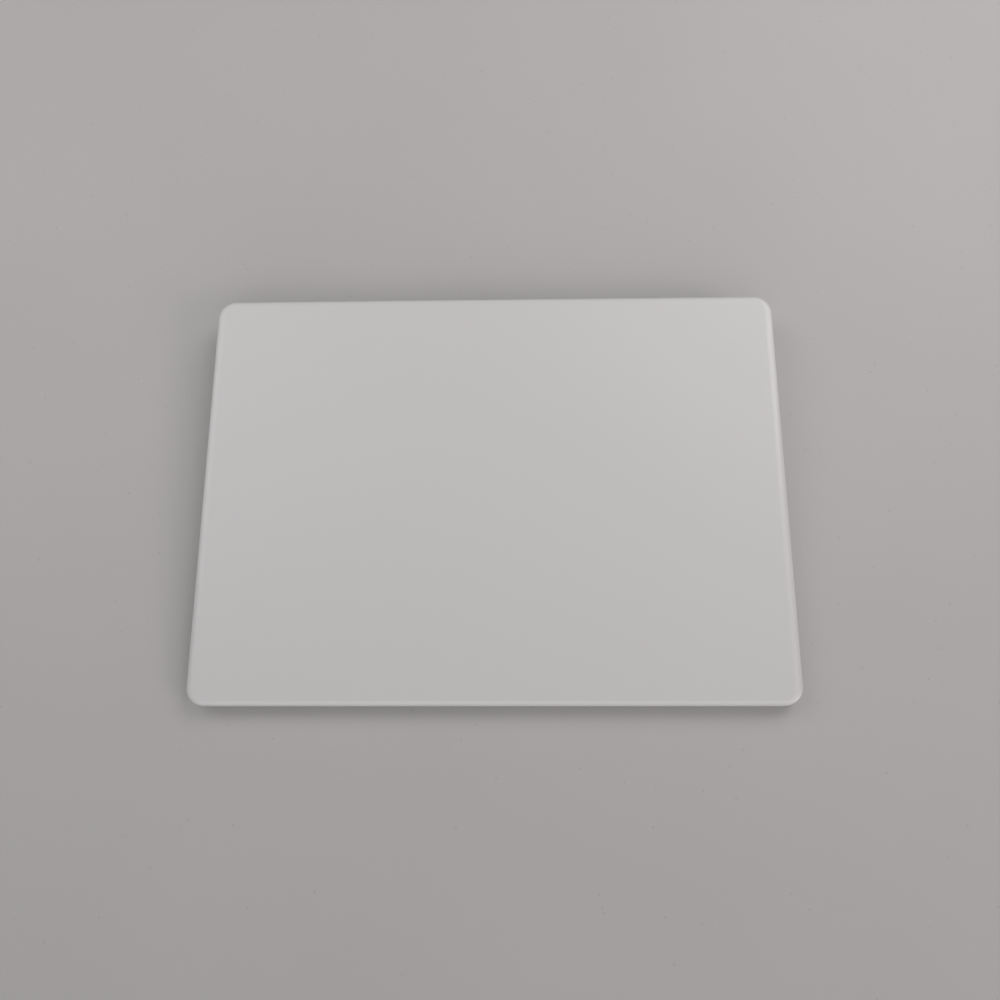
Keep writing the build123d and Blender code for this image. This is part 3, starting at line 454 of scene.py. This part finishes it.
# %% The rim profile
corner_radius = 4.8 * mm
roll_width = 2.35 * mm
roll_narrowing = 0.45
roll_first_slope = radians(3)
roll_last_slope = radians(20)
rim_round = 0.42 * mm
underside_bevel = 0.15 * mm
flat_margin = 0.2 * mm
# How far in from the outline the glass is painted darker, a painted shade.
painted_shade_width = 0.55 * roll_width
roll_steps = 10
round_steps = 8


def rim_profile():
    """Points from the flat top to the underside: how far in from the outline, and how deep."""
    round_width = rim_round * (1 - sin(roll_last_slope))
    stride = (roll_width - round_width) / roll_steps
    points = [(roll_width + flat_margin, 0.0), (roll_width, 0.0)]
    for step in range(roll_steps):
        share = (step + 0.5) / roll_steps
        slope = roll_first_slope + (roll_last_slope - roll_first_slope) * share
        inset, depth = points[-1]
        points.append((inset - stride, depth + stride * tan(slope)))
    roll_depth = points[-1][1]
    for step in range(1, round_steps + 1):
        slope = roll_last_slope + (pi / 2 - roll_last_slope) * step / round_steps
        fall = rim_round * (cos(roll_last_slope) - cos(slope))
        points.append((rim_round * (1 - sin(slope)), roll_depth + fall))
    thickness = glass_size.z
    points.append((0.0, thickness - underside_bevel))
    points.append((underside_bevel, thickness))
    points.append((roll_width, thickness))
    return points


rim_points = rim_profile()
roll_depth = rim_points[roll_steps + 1][1]
print(f"rim profile: {len(rim_points)} points, roll {roll_depth / mm:.2f} mm deep")

# %% A curve that carries the profile
def profile_object(points):
    """A curve object in its own XY plane, which the tree below sweeps round the outline."""
    curve = bpy.data.curves.new("rim profile", "CURVE")
    curve.dimensions = "3D"
    spline = curve.splines.new("POLY")
    spline.points.add(len(points) - 1)
    for point, (inset, depth) in zip(spline.points, points):
        point.co = (-inset, depth, 0, 1)
    return into_scene("rim profile", curve)


# %% Begin and end a shape tree
def start_shape(name, inputs):
    """A geometry tree with these inputs, and one for its finish."""
    inputs = {**inputs, "Finish": ("Material", None)}
    return start_group(name, "GeometryNodeTree", inputs, {"Geometry": "Geometry"})


def end_shape(tree, shape, given, result):
    """Makes the shape real, gives it the finish and hands it out of the tree."""
    real = get(tree, "GeometryNodeRealizeInstances", {"Geometry": shape})
    painted = get(tree, "GeometryNodeSetMaterial", {"Geometry": real, "Material": given["Finish"]})
    tree.links.new(painted, result["Geometry"])
    return tree


def stored(tree, shape, name, value, kind="FLOAT"):
    """The shape, with a value kept on its points under a name."""
    return get(
        tree, "GeometryNodeStoreNamedAttribute", {"Geometry": shape, "Name": name, "Value": value},
        data_type=kind, domain="POINT"
    )


def recalled(tree, name, kind="FLOAT"):
    """The value kept on the points under a name."""
    return get(tree, "GeometryNodeInputNamedAttribute", {"Name": name}, data_type=kind)


# %% The tree that sweeps the rim
def make_glass_tree(upper_part=0.85, full_rim=0.55, full_edge=0.3):
    tree, given, result = start_shape(
        "rolled rim plate",
        {
            "Width": ("Float", 160 * mm),
            "Length": ("Float", 115 * mm),
            "Corner radius": ("Float", corner_radius),
            "Corner steps": ("Int", 14),
            "Thickness": ("Float", 1.1 * mm),
            "Rim profile": ("Object", None),
            "Roll width": ("Float", roll_width),
            "Narrowing": ("Float", roll_narrowing),
            "Painted shade width": ("Float", painted_shade_width),
        },
    )
    sizes = {"Width": given["Width"], "Height": given["Length"]}
    rectangle = get(tree, "GeometryNodeCurvePrimitiveQuadrilateral", sizes)
    outline = get(
        tree, "GeometryNodeFilletCurve",
        {"Curve": rectangle, "Count": given["Corner steps"], "Radius": given["Corner radius"]},
        mode="POLY"
    )
    facing = get(tree, "GeometryNodeInputNormal")
    outline = stored(tree, outline, "outward", facing, "FLOAT_VECTOR")
    profile = add(tree, "GeometryNodeObjectInfo", {"Object": given["Rim profile"]})
    along = split(tree, get(tree, "GeometryNodeInputPosition"))
    inset = times(tree, along["X"], -1.0)
    upper = math(tree, "LESS_THAN", along["Y"], times(tree, given["Thickness"], upper_part))
    line = stored(tree, profile.outputs["Geometry"], "inset", inset)
    # The rim mask carries the polish and a painted highlight, the edge mask a painted shade.
    masks = (("rim", given["Roll width"], full_rim), ("edge", given["Painted shade width"], full_edge))
    for mask, reach, full in masks:
        nearness = ramp(tree, inset, reach, times(tree, reach, full))
        line = stored(tree, line, mask, times(tree, nearness, upper))
    rim = get(tree, "GeometryNodeCurveToMesh", {"Curve": outline, "Profile Curve": line})
    outward = recalled(tree, "outward", "FLOAT_VECTOR")
    towards_user = split(tree, outward)["Y"]
    narrower = times(tree, times(tree, towards_user, towards_user), given["Narrowing"])
    push = scaled(tree, outward, times(tree, recalled(tree, "inset"), narrower))
    rim = get(tree, "GeometryNodeSetPosition", {"Geometry": rim, "Offset": push})
    for name in ("outward", "inset"):
        rim = get(tree, "GeometryNodeRemoveAttribute", {"Geometry": rim, "Name": name})
    faces_beside = add(tree, "GeometryNodeInputMeshEdgeNeighbors").outputs["Face Count"]
    open_edge = get(
        tree, "FunctionNodeCompare", {2: faces_beside, 3: 1}, data_type="INT", operation="EQUAL"
    )
    height = split(tree, get(tree, "GeometryNodeInputPosition"))["Z"]
    middle = times(tree, given["Thickness"], -0.5)
    above = get(tree, "FunctionNodeCompare", {0: height, 1: middle}, operation="GREATER_THAN")
    below = get(tree, "FunctionNodeBooleanMath", {0: above}, operation="NOT")
    flats = []
    for side, level in ((above, 0.0), (below, -1.0)):
        loop_edge = get(tree, "FunctionNodeBooleanMath", {0: open_edge, 1: side}, operation="AND")
        loop = get(tree, "GeometryNodeMeshToCurve", {"Mesh": rim, "Selection": loop_edge})
        flat = get(tree, "GeometryNodeFillCurve", {"Curve": loop}, mode="NGONS")
        shift = get(tree, "ShaderNodeCombineXYZ", {"Z": times(tree, given["Thickness"], level)})
        flats.append(get(tree, "GeometryNodeTransform", {"Geometry": flat, "Translation": shift}))
    top, underside = flats[0], get(tree, "GeometryNodeFlipFaces", {"Mesh": flats[1]})
    joined = add(tree, "GeometryNodeJoinGeometry")
    for part in (underside, top, rim):
        tree.links.new(part, joined.inputs[0])
    merged = get(
        tree, "GeometryNodeMergeByDistance", {"Geometry": joined.outputs[0], "Distance": touching}
    )
    smooth = get(tree, "GeometryNodeSetShadeSmooth", {"Geometry": merged})
    return end_shape(tree, smooth, given, result)


glass_tree = make_glass_tree()


# %% Run a tree on a host and keep the plain mesh
def grow(name, tree, values, host_points=()):
    """Runs a geometry tree on a host of loose points and returns its result as a plain object."""
    host_mesh = bpy.data.meshes.new(name)
    host_mesh.from_pydata([tuple(point) for point in host_points], [], [])
    host = into_scene(name, host_mesh)
    modifier = host.modifiers.new(tree.name, "NODES")
    modifier.node_group = tree
    identifiers = {
        item.name: item.identifier
        for item in tree.interface.items_tree
        if item.item_type == "SOCKET" and item.in_out == "INPUT"
    }
    for label, value in values.items():
        modifier[identifiers[label]] = value
    shape = host.evaluated_get(bpy.context.evaluated_depsgraph_get())
    made = bpy.data.meshes.new_from_object(shape)
    host.modifiers.clear()
    host.data = made
    bpy.data.meshes.remove(host_mesh)
    made.name = name
    return host


def report(piece):
    """Prints a piece's faces, its size and whether it is closed with its faces outwards."""
    shape = bmesh.new()
    shape.from_mesh(piece.data)
    volume = shape.calc_volume(signed=True)
    loose = sum(1 for edge in shape.edges if len(edge.link_faces) != 2)
    shape.free()
    points = np.array([v.co for v in piece.data.vertices])
    size = (points.max(axis=0) - points.min(axis=0)) / mm
    print(f"{piece.name}: {len(piece.data.polygons)} faces, {size.round(2)} mm, "
          f"{volume / mm**3:.1f} mm3, {loose} open edges")


# %% Make the glass
profile = profile_object(rim_points)
touch_glass = grow(
    "touch_glass",
    glass_tree,
    {
        "Width": glass_size.x,
        "Length": glass_size.y,
        "Thickness": glass_size.z,
        "Rim profile": profile,
        "Finish": finishes["white_glass"],
    },
)
bpy.data.objects.remove(profile)
top_centre = (glass_low + glass_high) / 2
top_centre.z = glass_high.z
touch_glass.data.transform(from_slope.to_4x4() @ Matrix.Translation(top_centre))
report(touch_glass)
for mask in ("rim", "edge"):
    values = [item.value for item in touch_glass.data.attributes[mask].data]
    print(f"mask {mask}: {min(values):.2f} to {max(values):.2f}")
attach(touch_glass, "touch_plate")
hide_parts("glass_plate")

# %% [markdown]
# ## The screws
#
# Nineteen small screws hold the flexures, the actuator and the circuit boards. On the real part
# each has a low head with a six-lobed drive, which is what the eye looks for in a screw. All of
# them are the same turned shape: one profile swept round a circle, then pushed in and out six
# times where the drive is.
#
# One tree makes the shape and puts it on every point of the host mesh. The points are the
# middles of the plain heads in the engineering model, so each screw stays in its own hole. A
# seeded spin turns every drive differently, as screws end up when they are tightened.


# %% The places of the screws
def top_middles(node_name, up):
    """The middle of the top face of every separate solid in a node."""
    shape = bmesh.new()
    shape.from_mesh(frame["nodes"][node_name].data)
    bmesh.ops.remove_doubles(shape, verts=shape.verts, dist=touching)
    seen = set()
    middles = []
    for start in shape.verts:
        if start in seen:
            continue
        seen.add(start)
        solid = [start]
        for vert in solid:
            for edge in vert.link_edges:
                other = edge.other_vert(vert)
                if other not in seen:
                    seen.add(other)
                    solid.append(other)
        top = max(vert.co.dot(up) for vert in solid)
        rim = [vert.co for vert in solid if vert.co.dot(up) > top - 10 * touching]
        middles.append(sum(rim, Vector()) / len(rim))
    shape.free()
    return middles


# %% The tree that turns a profile
def make_turned_tree():
    tree, given, result = start_shape(
        "turned piece on every point",
        {
            "Places": ("Geometry", None),
            "Profile": ("Object", None),
            "Radius": ("Float", 1.0 * mm),
            "Steps around": ("Int", 36),
            "Lobes": ("Int", 6),
            "Lobe reach": ("Float", 0.6 * mm),
            "Lobe floor": ("Float", 0.3 * mm),
            "Lobe swing": ("Float", 0.1),
            "Crease": ("Float", radians(32)),
            "Tilt": ("Float", 0.0),
            "Seed": ("Int", 7),
        },
    )
    circle = get(
        tree, "GeometryNodeCurvePrimitiveCircle",
        {"Resolution": given["Steps around"], "Radius": given["Radius"]}, mode="RADIUS"
    )
    profile = add(tree, "GeometryNodeObjectInfo", {"Object": given["Profile"]})
    curves = {"Curve": circle, "Profile Curve": profile.outputs["Geometry"]}
    swept = get(tree, "GeometryNodeCurveToMesh", curves)
    merging = {"Geometry": swept, "Distance": 2 * touching}
    closed = get(tree, "GeometryNodeMergeByDistance", merging)
    place = get(tree, "GeometryNodeInputPosition")
    parts = split(tree, place)
    flat = vector_math(tree, "MULTIPLY", place, (1, 1, 0))
    inside = math(tree, "LESS_THAN", vector_math(tree, "LENGTH", flat), given["Lobe reach"])
    floor_height = times(tree, given["Lobe floor"], -1.0)
    shallow = math(tree, "GREATER_THAN", parts["Z"], floor_height)
    turn = math(tree, "ARCTAN2", parts["Y"], parts["X"])
    wave = math(tree, "COSINE", times(tree, turn, given["Lobes"]))
    swing = times(tree, times(tree, wave, given["Lobe swing"]), times(tree, inside, shallow))
    lobed = get(
        tree, "GeometryNodeSetPosition", {"Geometry": closed, "Offset": scaled(tree, flat, swing)}
    )
    bend = add(tree, "GeometryNodeInputMeshEdgeAngle").outputs["Unsigned Angle"]
    creased = math(tree, "GREATER_THAN", bend, given["Crease"])
    soft = get(tree, "GeometryNodeSetShadeSmooth", {"Geometry": lobed}, domain="FACE")
    sharp = get(
        tree, "GeometryNodeSetShadeSmooth",
        {"Geometry": soft, "Selection": creased, "Shade Smooth": False}, domain="EDGE"
    )
    spin = add(
        tree, "FunctionNodeRandomValue", {"Min": 0.0, "Max": 2 * pi, "Seed": given["Seed"]},
        data_type="FLOAT"
    ).outputs["Value"]
    spun = get(tree, "ShaderNodeCombineXYZ", {"Z": spin})
    tilted = get(tree, "ShaderNodeCombineXYZ", {"X": given["Tilt"]})
    turned = get(
        tree, "FunctionNodeRotateRotation",
        {"Rotation": get(tree, "FunctionNodeEulerToRotation", {0: spun}),
         "Rotate By": get(tree, "FunctionNodeEulerToRotation", {0: tilted})},
        rotation_space="GLOBAL"
    )
    places = {"Points": given["Places"], "Instance": sharp, "Rotation": turned}
    placed = get(tree, "GeometryNodeInstanceOnPoints", places)
    return end_shape(tree, placed, given, result)


turned_tree = make_turned_tree()

# %% The profile of a screw
head_radius = 0.95 * mm
head_height = 0.4 * mm
head_roll = 0.14 * mm
head_shoulder = 0.05 * mm
shank_radius = 0.5 * mm
drive_radius = 0.52 * mm
drive_depth = 0.26 * mm
drive_bevel = 0.03 * mm
bevel = 0.04 * mm
thread_start = 0.1 * mm
thread_pitch = 0.25 * mm
thread_depth = 0.07 * mm
tip_radius = 0.3 * mm
tip_length = 0.15 * mm


def screw_profile(under_head):
    """Radius and depth of a screw, from the floor of its drive to the end of its thread."""
    points = [(0.0, drive_depth), (drive_radius - 2 * bevel, drive_depth),
              (drive_radius - bevel, drive_bevel), (drive_radius, 0.0)]
    points += [(head_radius - head_roll, 0.0), (head_radius - bevel, head_shoulder),
               (head_radius, 3 * head_shoulder), (head_radius, head_height),
               (shank_radius, head_height)]
    depth = head_height + thread_start
    tip = head_height + under_head
    while depth + thread_pitch < tip - tip_length:
        points.append((shank_radius, depth))
        points.append((shank_radius - thread_depth, depth + thread_pitch / 2))
        depth += thread_pitch
    points += [(shank_radius, depth), (tip_radius, tip), (0.0, tip)]
    return [(head_radius - radius, depth) for radius, depth in points]


# %% Make the screws
screw_grip = 0.9 * mm
surface_tilt = atan2(-surface_up.y, surface_up.z)
upright = Vector((0, 0, 1))
screw_sets = (  # the piece, its node, the way up, the tilt and how thick a sheet it clamps
    ("flexure_screw_set", "flexure_screws", surface_up, surface_tilt, 0.45 * mm),
    ("tray_screw_set", "tray_screws", upright, 0.0, 0.3 * mm),
    ("board_screw_set", "board_screws", upright, 0.0, 0.8 * mm),
)
for number, (name, node_name, up, tilt, clamped) in enumerate(screw_sets):
    profile = profile_object(screw_profile(clamped + screw_grip))
    screws = grow(
        name,
        turned_tree,
        {
            "Profile": profile,
            "Radius": head_radius,
            "Tilt": tilt,
            "Seed": number,
            "Finish": finishes["screw_steel"],
        },
        top_middles(node_name, up),
    )
    bpy.data.objects.remove(profile)
    report(screws)
    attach(screws, "case")
    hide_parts(node_name)

# %% [markdown]
# ## The coils
#
# Four coils sit on the poles of the haptic actuator. A coil is one long wire, wound turn beside
# turn round a rectangle with round corners. So its path has a rule: each quarter of a turn is an
# arc round one corner, the straight runs join the arcs, and the whole thing creeps along the
# pole by one wire for every turn. A tree places the points by that rule and sweeps a small
# circle along them. Two plain bars stand for the layers beneath, beside the pole.


# %% The tree that winds a wire
wire_width = 0.34 * mm
wire_gap = 0.01 * mm
corner_points = 4


def make_winding_tree(window_wires=2.2, layers_inset=0.52):
    tree, given, result = start_shape(
        "wound coil",
        {
            "Place": ("Geometry", None),
            "Width": ("Float", 9.3 * mm),
            "Height": ("Float", 2.3 * mm),
            "Length": ("Float", 14.0 * mm),
            "Turns": ("Int", 39),
            "Wire": ("Float", wire_width),
            "Corner radius": ("Float", 0.5 * mm),
            "Layers width": ("Float", 1.45 * mm),
        },
    )
    half_wire = times(tree, given["Wire"], 0.5)
    points = math(tree, "ADD", times(tree, given["Turns"], 4 * corner_points), 1.0)
    line = get(tree, "GeometryNodeMeshLine", {"Count": points}, mode="OFFSET")
    index = get(tree, "GeometryNodeInputIndex")
    quarter = math(tree, "FLOOR", math(tree, "DIVIDE", index, corner_points))
    share = math(tree, "DIVIDE", math(tree, "MODULO", index, corner_points), corner_points - 1)
    angle = times(tree, math(tree, "ADD", quarter, share), pi / 2)
    corner = times(tree, math(tree, "ADD", quarter, 0.5), pi / 2)
    sides = []
    for span, wave in (("Width", "COSINE"), ("Height", "SINE")):
        reach = math(tree, "SUBTRACT", times(tree, given[span], 0.5), half_wire)
        straight = math(tree, "SUBTRACT", reach, given["Corner radius"])
        side = math(tree, "SIGN", math(tree, wave, corner))
        arc = times(tree, given["Corner radius"], math(tree, wave, angle))
        sides.append(math(tree, "ADD", times(tree, straight, side), arc))
    travel = math(tree, "SUBTRACT", given["Length"], given["Wire"])
    progress = math(tree, "DIVIDE", index, math(tree, "SUBTRACT", points, 1.0))
    along = times(tree, math(tree, "SUBTRACT", progress, 0.5), travel)
    spot = get(tree, "ShaderNodeCombineXYZ", {"X": sides[0], "Y": along, "Z": sides[1]})
    path = get(tree, "GeometryNodeSetPosition", {"Geometry": line, "Position": spot})
    route = get(tree, "GeometryNodeMeshToCurve", {"Mesh": path})
    section = get(
        tree, "GeometryNodeCurvePrimitiveCircle", {"Resolution": 6, "Radius": half_wire},
        mode="RADIUS"
    )
    curves = {"Curve": route, "Profile Curve": section, "Fill Caps": True}
    wire = get(tree, "GeometryNodeCurveToMesh", curves)
    wire = get(tree, "GeometryNodeSetShadeSmooth", {"Geometry": wire}, domain="FACE")
    window = math(tree, "SUBTRACT", given["Height"], times(tree, given["Wire"], window_wires))
    sizes = {"X": given["Layers width"], "Y": travel, "Z": window}
    size = get(tree, "ShaderNodeCombineXYZ", sizes)
    layers = get(tree, "GeometryNodeMeshCube", {"Size": size})
    offset = math(tree, "SUBTRACT", times(tree, given["Width"], 0.5), given["Wire"])
    offset = math(tree, "SUBTRACT", offset, times(tree, given["Layers width"], layers_inset))
    joined = add(tree, "GeometryNodeJoinGeometry")
    for direction in (1.0, -1.0):
        shift = get(tree, "ShaderNodeCombineXYZ", {"X": times(tree, offset, direction)})
        bar = get(tree, "GeometryNodeTransform", {"Geometry": layers, "Translation": shift})
        tree.links.new(bar, joined.inputs[0])
    tree.links.new(wire, joined.inputs[0])
    places = {"Points": given["Place"], "Instance": joined.outputs[0]}
    placed = get(tree, "GeometryNodeInstanceOnPoints", places)
    return end_shape(tree, placed, given, result)


winding_tree = make_winding_tree()

# %% Wind the coils
for number in range(1, 5):
    low, high = (Vector(corner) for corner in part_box(f"coil_{number}"))
    size = high - low
    winding = grow(
        f"winding_{number}",
        winding_tree,
        {
            "Width": size.x,
            "Height": size.z,
            "Length": size.y,
            "Turns": int((size.y - wire_width) / (wire_width + wire_gap)),
            "Finish": finishes["coil_copper"],
        },
        [(low + high) / 2],
    )
    report(winding)
    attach(winding, "case")
    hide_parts(f"coil_{number}")

# %% [markdown]
# ## Pieces that bend when the surface is pressed
#
# The glass sinks a quarter of a millimetre when it is pressed. It stands on four spring-steel
# tongues, so their tips go down with it while their screwed ends stay with the case. A measured
# solid can't bend, so each spring is a copy of its solid, cut across the tongue a few times where
# it would curve.


# %% Copy a measured piece so that it can bend
def piece_from(shape, name, look):
    """Turns an edited shape into a piece with a finish."""
    mesh = bpy.data.meshes.new(name)
    shape.to_mesh(mesh)
    shape.free()
    mesh.materials.append(finishes[look])
    return into_scene(name, mesh)


def bendable_copy(name, look, node_name, cuts, wanted=lambda place: True):
    """A merged copy of a measured piece, with an extra cut across it at each of these x."""
    shape = bmesh.new()
    shape.from_mesh(frame["nodes"][node_name].data)
    bmesh.ops.remove_doubles(shape, verts=shape.verts, dist=touching)
    unwanted = [vert for vert in shape.verts if not wanted(vert.co)]
    bmesh.ops.delete(shape, geom=unwanted, context="VERTS")
    bmesh.ops.dissolve_limit(shape, angle_limit=radians(1), verts=shape.verts, edges=shape.edges)
    for cut in cuts:
        bmesh.ops.bisect_plane(
            shape, geom=shape.verts[:] + shape.edges[:] + shape.faces[:], dist=touching / 10,
            plane_co=(cut, 0, 0), plane_no=(1, 0, 0)
        )
    return piece_from(shape, name, look)


# %% Springs
strip_width = 5.0 * mm
pad_radius = 2.4 * mm
bend_cuts = 9
pad_low, pad_high = (Vector(corner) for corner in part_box("gel_pad_front_right"))
bend_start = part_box("flexure_front_right")[1][0] - strip_width
bend_end = (pad_low.x + pad_high.x) / 2 + pad_radius
spans = [bend_start + (bend_end - bend_start) * step / bend_cuts for step in range(bend_cuts + 1)]
print(f"the springs bend from x {bend_start / mm:.2f} to {bend_end / mm:.2f} mm")

for corner in ("front_left", "front_right", "rear_left", "rear_right"):
    side = 1 if "right" in corner else -1
    cuts = [side * x for x in spans]
    spring = bendable_copy(f"spring_{corner}", "spring_steel", f"flexure_{corner}", cuts)
    report(spring)
    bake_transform(spring)
    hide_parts(f"flexure_{corner}")

# %% [markdown]
# ## Strain gauges
#
# A gauge is a thin film on the root of its tongue, and its tail climbs to the sensor board. The
# film has to follow the bending steel, and the top of the tail has to follow the board. Here each
# side's gauges are a copy of the measured film, cut across at the same places as the springs.

# %% Gauges
film_height = extent_on_slope("gel_pad_front_right")[0].z
for name, side in (("gauges_left", -1), ("gauges_right", 1)):
    cuts = [side * x for x in spans]
    gauges = bendable_copy(
        name, "gauge_film", "strain_gauges", cuts, lambda place: place.x * side > 0
    )
    first = from_slope @ Vector((side * bend_start, 0, film_height))
    report(gauges)
    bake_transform(gauges)
    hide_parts("strain_gauges")

# %% [markdown]
# ## The ribbon to the touch sensor
#
# A flat ribbon joins the logic board, which stays, to the sensor board, which moves. Real ones
# are laid in a loose loop so that they roll instead of pulling. This one is a strip swept along
# that loop. Its lower end lies on the connector of the logic board and its upper end on the
# sloping connector above, so the strip twists a little on the way up.

# %% Sensor ribbon
ribbon_thickness = 0.15 * mm
loop_steps = 20
loop_low, loop_high = (Vector(corner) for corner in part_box("sensor_ribbon"))
socket_low = Vector(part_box("sensor_connector")[0])
front_y, rear_y = loop_low.y, loop_high.y
lower = loop_low.z + ribbon_thickness / 2
slope_rise = (rear_y - front_y) * tan(surface_tilt)
upper = socket_low.z + (front_y - socket_low.y) * tan(surface_tilt) - ribbon_thickness / 2
nose = (upper + slope_rise / 2 - lower) / 2
nose_x = loop_high.x - ribbon_thickness / 2 - nose
route = [(loop_low.x, 0.0, 0.0), (nose_x, 0.0, 0.0)]
for step in range(1, loop_steps):
    angle = pi * step / loop_steps
    route.append((nose_x + nose * sin(angle), angle, (1 - cos(angle)) / 2))
route += [(nose_x, pi, 1.0), (loop_low.x, pi, 1.0)]

ribbon = bmesh.new()
rings = []
for x, angle, share in route:
    ring = []
    for y, rise in ((front_y, 0.0), (rear_y, slope_rise)):
        middle = lower + (upper + rise - lower) * share
        for half in (-ribbon_thickness / 2, ribbon_thickness / 2):
            ring.append(ribbon.verts.new((x - half * sin(angle), y, middle + half * cos(angle))))
    rings.append([ring[0], ring[1], ring[3], ring[2]])
for first, second in zip(rings, rings[1:]):
    for side in range(4):
        ribbon.faces.new((first[side], first[side - 1], second[side - 1], second[side]))
ribbon.faces.new(rings[0])
ribbon.faces.new(rings[-1][::-1])
bmesh.ops.recalc_face_normals(ribbon, faces=ribbon.faces)
ribbon_loop = piece_from(ribbon, "sensor_ribbon_loop", "ribbon_film")
report(ribbon_loop)
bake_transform(ribbon_loop)
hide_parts("sensor_ribbon")

# %% [markdown]
# ## The floor
#
# A plain pale round tabletop, large enough to fill the picture from above. From a low side its
# edge meets the pale backdrop without a dark band. Its faint grain and a few small flecks keep it
# from being one flat number.

# %% Tabletop colour
def tabletop_colour(tree, cells_per_metre=190.0, outer=0.07, inner=0.03, strength=0.6):
    """Pale grey with a few small darker flecks, as in a speckled laminate."""
    cells = {"Vector": object_place(tree), "Scale": cells_per_metre}
    distance = add(tree, "ShaderNodeTexVoronoi", cells).outputs["Distance"]
    fleck = times(tree, ramp(tree, distance, outer, inner, kind="LINEAR"), strength)
    return mix_colours(tree, fleck, (0.62, 0.607, 0.607, 1), (0.47, 0.45, 0.44, 1))


# %% Floor
floor_reach = 0.7
floor_steps = 180
turns = [2 * pi * step / floor_steps for step in range(floor_steps)]
edge = [(floor_reach * cos(turn), floor_reach * sin(turn), 0) for turn in turns]
floor_mesh = bpy.data.meshes.new("floor")
floor_mesh.from_pydata(edge, [], [range(floor_steps)])
floor = into_scene("floor", floor_mesh)
floor_mesh.materials.append(
    finish("pale_tabletop", tabletop_colour, roughness=0.6, grain=0.3 * mm,
           tooth=0.006 * mm, shade=0.024, patch=60 * mm, marks=0.2)
)

# %% [markdown]
# ## The camera
#
# The photograph was taken by hand from just in front of the near edge, looking steeply down with
# a wide lens. The place, the aim and the lens come from the four corners of the body, whose real
# distances are known.

# %% Camera
camera_place = Vector((7.77, -76.28, 239.11)) * mm
camera_aim = Vector((2.04, -2.94, 8.0)) * mm
picture_up = Vector((0.0058, 0.9528, 0.3035))

lens = bpy.data.cameras.new("camera")
lens.lens = 32.04
lens.sensor_width = 36.0
lens.clip_start = 5 * mm
camera = into_scene("camera", lens)
ahead = (camera_aim - camera_place).normalized()
right = ahead.cross(picture_up).normalized()
turned = Matrix((right, right.cross(ahead), -ahead)).transposed()
camera.matrix_world = Matrix.Translation(camera_place) @ turned.to_4x4()
bpy.context.scene.camera = camera
bpy.context.scene.view_settings.view_transform = "Standard"
print(f"the camera is {(camera_place - camera_aim).length / mm:.0f} mm from its aim")

# %% [markdown]
# ## The light
#
# The room gives a broad soft light from all round, a little stronger from the far right. Two
# wide, low windows stand to the sides, in front of the body. They light the rolled rim at the
# sides and draw the pale shadows behind the rear edge. The sky brightens towards the horizon and
# on the near side, and is dimmer straight above, where the photographer stands. The near rim
# mirrors that near side, which draws its bright line. Seen directly, behind the tabletop, the
# sky is one plain pale tone.


# %% A soft light
def soft_light(name, bearing, elevation, distance, width, height, watts, colour):
    """A rectangle of light that faces the body. Bearing 0 is the user's right, 90 the far side."""
    source = bpy.data.lights.new(name, "AREA")
    source.shape = "RECTANGLE"
    source.size, source.size_y = width, height
    source.energy = watts
    source.color = colour
    lamp = into_scene(name, source)
    turn, rise = radians(bearing), radians(elevation)
    place = Vector((cos(rise) * cos(turn), cos(rise) * sin(turn), sin(rise))) * distance
    lamp.location = place
    lamp.rotation_mode = "QUATERNION"
    lamp.rotation_quaternion = (-place).to_track_quat("-Z", "Y")
    lamp.visible_camera = False


# %% Lights
neutral = (1.0, 0.985, 0.975)
warm = (1.0, 0.94, 0.92)
# name, then bearing, elevation, distance, width, height, watts and colour
soft_light("far_right_light", 45, 45, 0.6, 0.4, 0.4, 1.04, neutral)
soft_light("far_left_light", 150, 45, 0.6, 0.4, 0.4, 0.67, neutral)
soft_light("right_window", -28, 26, 1.2, 0.5, 0.35, 2.2, warm)
soft_light("left_window", -164, 24, 1.2, 0.5, 0.35, 0.2, neutral)

# %% Light from all round
sky_strength = 0.124
horizon_strength = 0.3
horizon_rise = 0.4
overhead = (-0.02, 0.2, 0.98)
overhead_span = (0.92, 0.985)
overhead_share = 0.1
near_side = (0.1, -0.86, 0.5)
near_span = (0.72, 0.87)
near_strength = 0.75
backdrop_strength = 0.4

sky = bpy.data.worlds.new("studio")
bpy.context.scene.world = sky
sky.use_nodes = True
tree = sky.node_tree
toward = add(tree, "ShaderNodeTexCoord").outputs["Generated"]
height = split(tree, toward)["Z"]
strength = ramp(tree, height, 0.0, horizon_rise, horizon_strength, sky_strength)
upward = vector_math(tree, "DOT_PRODUCT", toward, overhead)
dimming = ramp(tree, upward, *overhead_span, 1.0, overhead_share)
nearward = vector_math(tree, "DOT_PRODUCT", toward, near_side)
near_glow = ramp(tree, nearward, *near_span, 0.0, near_strength)
room = times(tree, dimming, math(tree, "ADD", strength, near_glow))
seen_directly = add(tree, "ShaderNodeLightPath").outputs["Is Camera Ray"]
backdrop = ramp(tree, seen_directly, 0.0, 1.0, room, backdrop_strength, kind="LINEAR")
background = tree.nodes["Background"]
background.inputs["Color"].default_value = (1.0, 0.98, 0.98, 1)
tree.links.new(backdrop, background.inputs["Strength"])
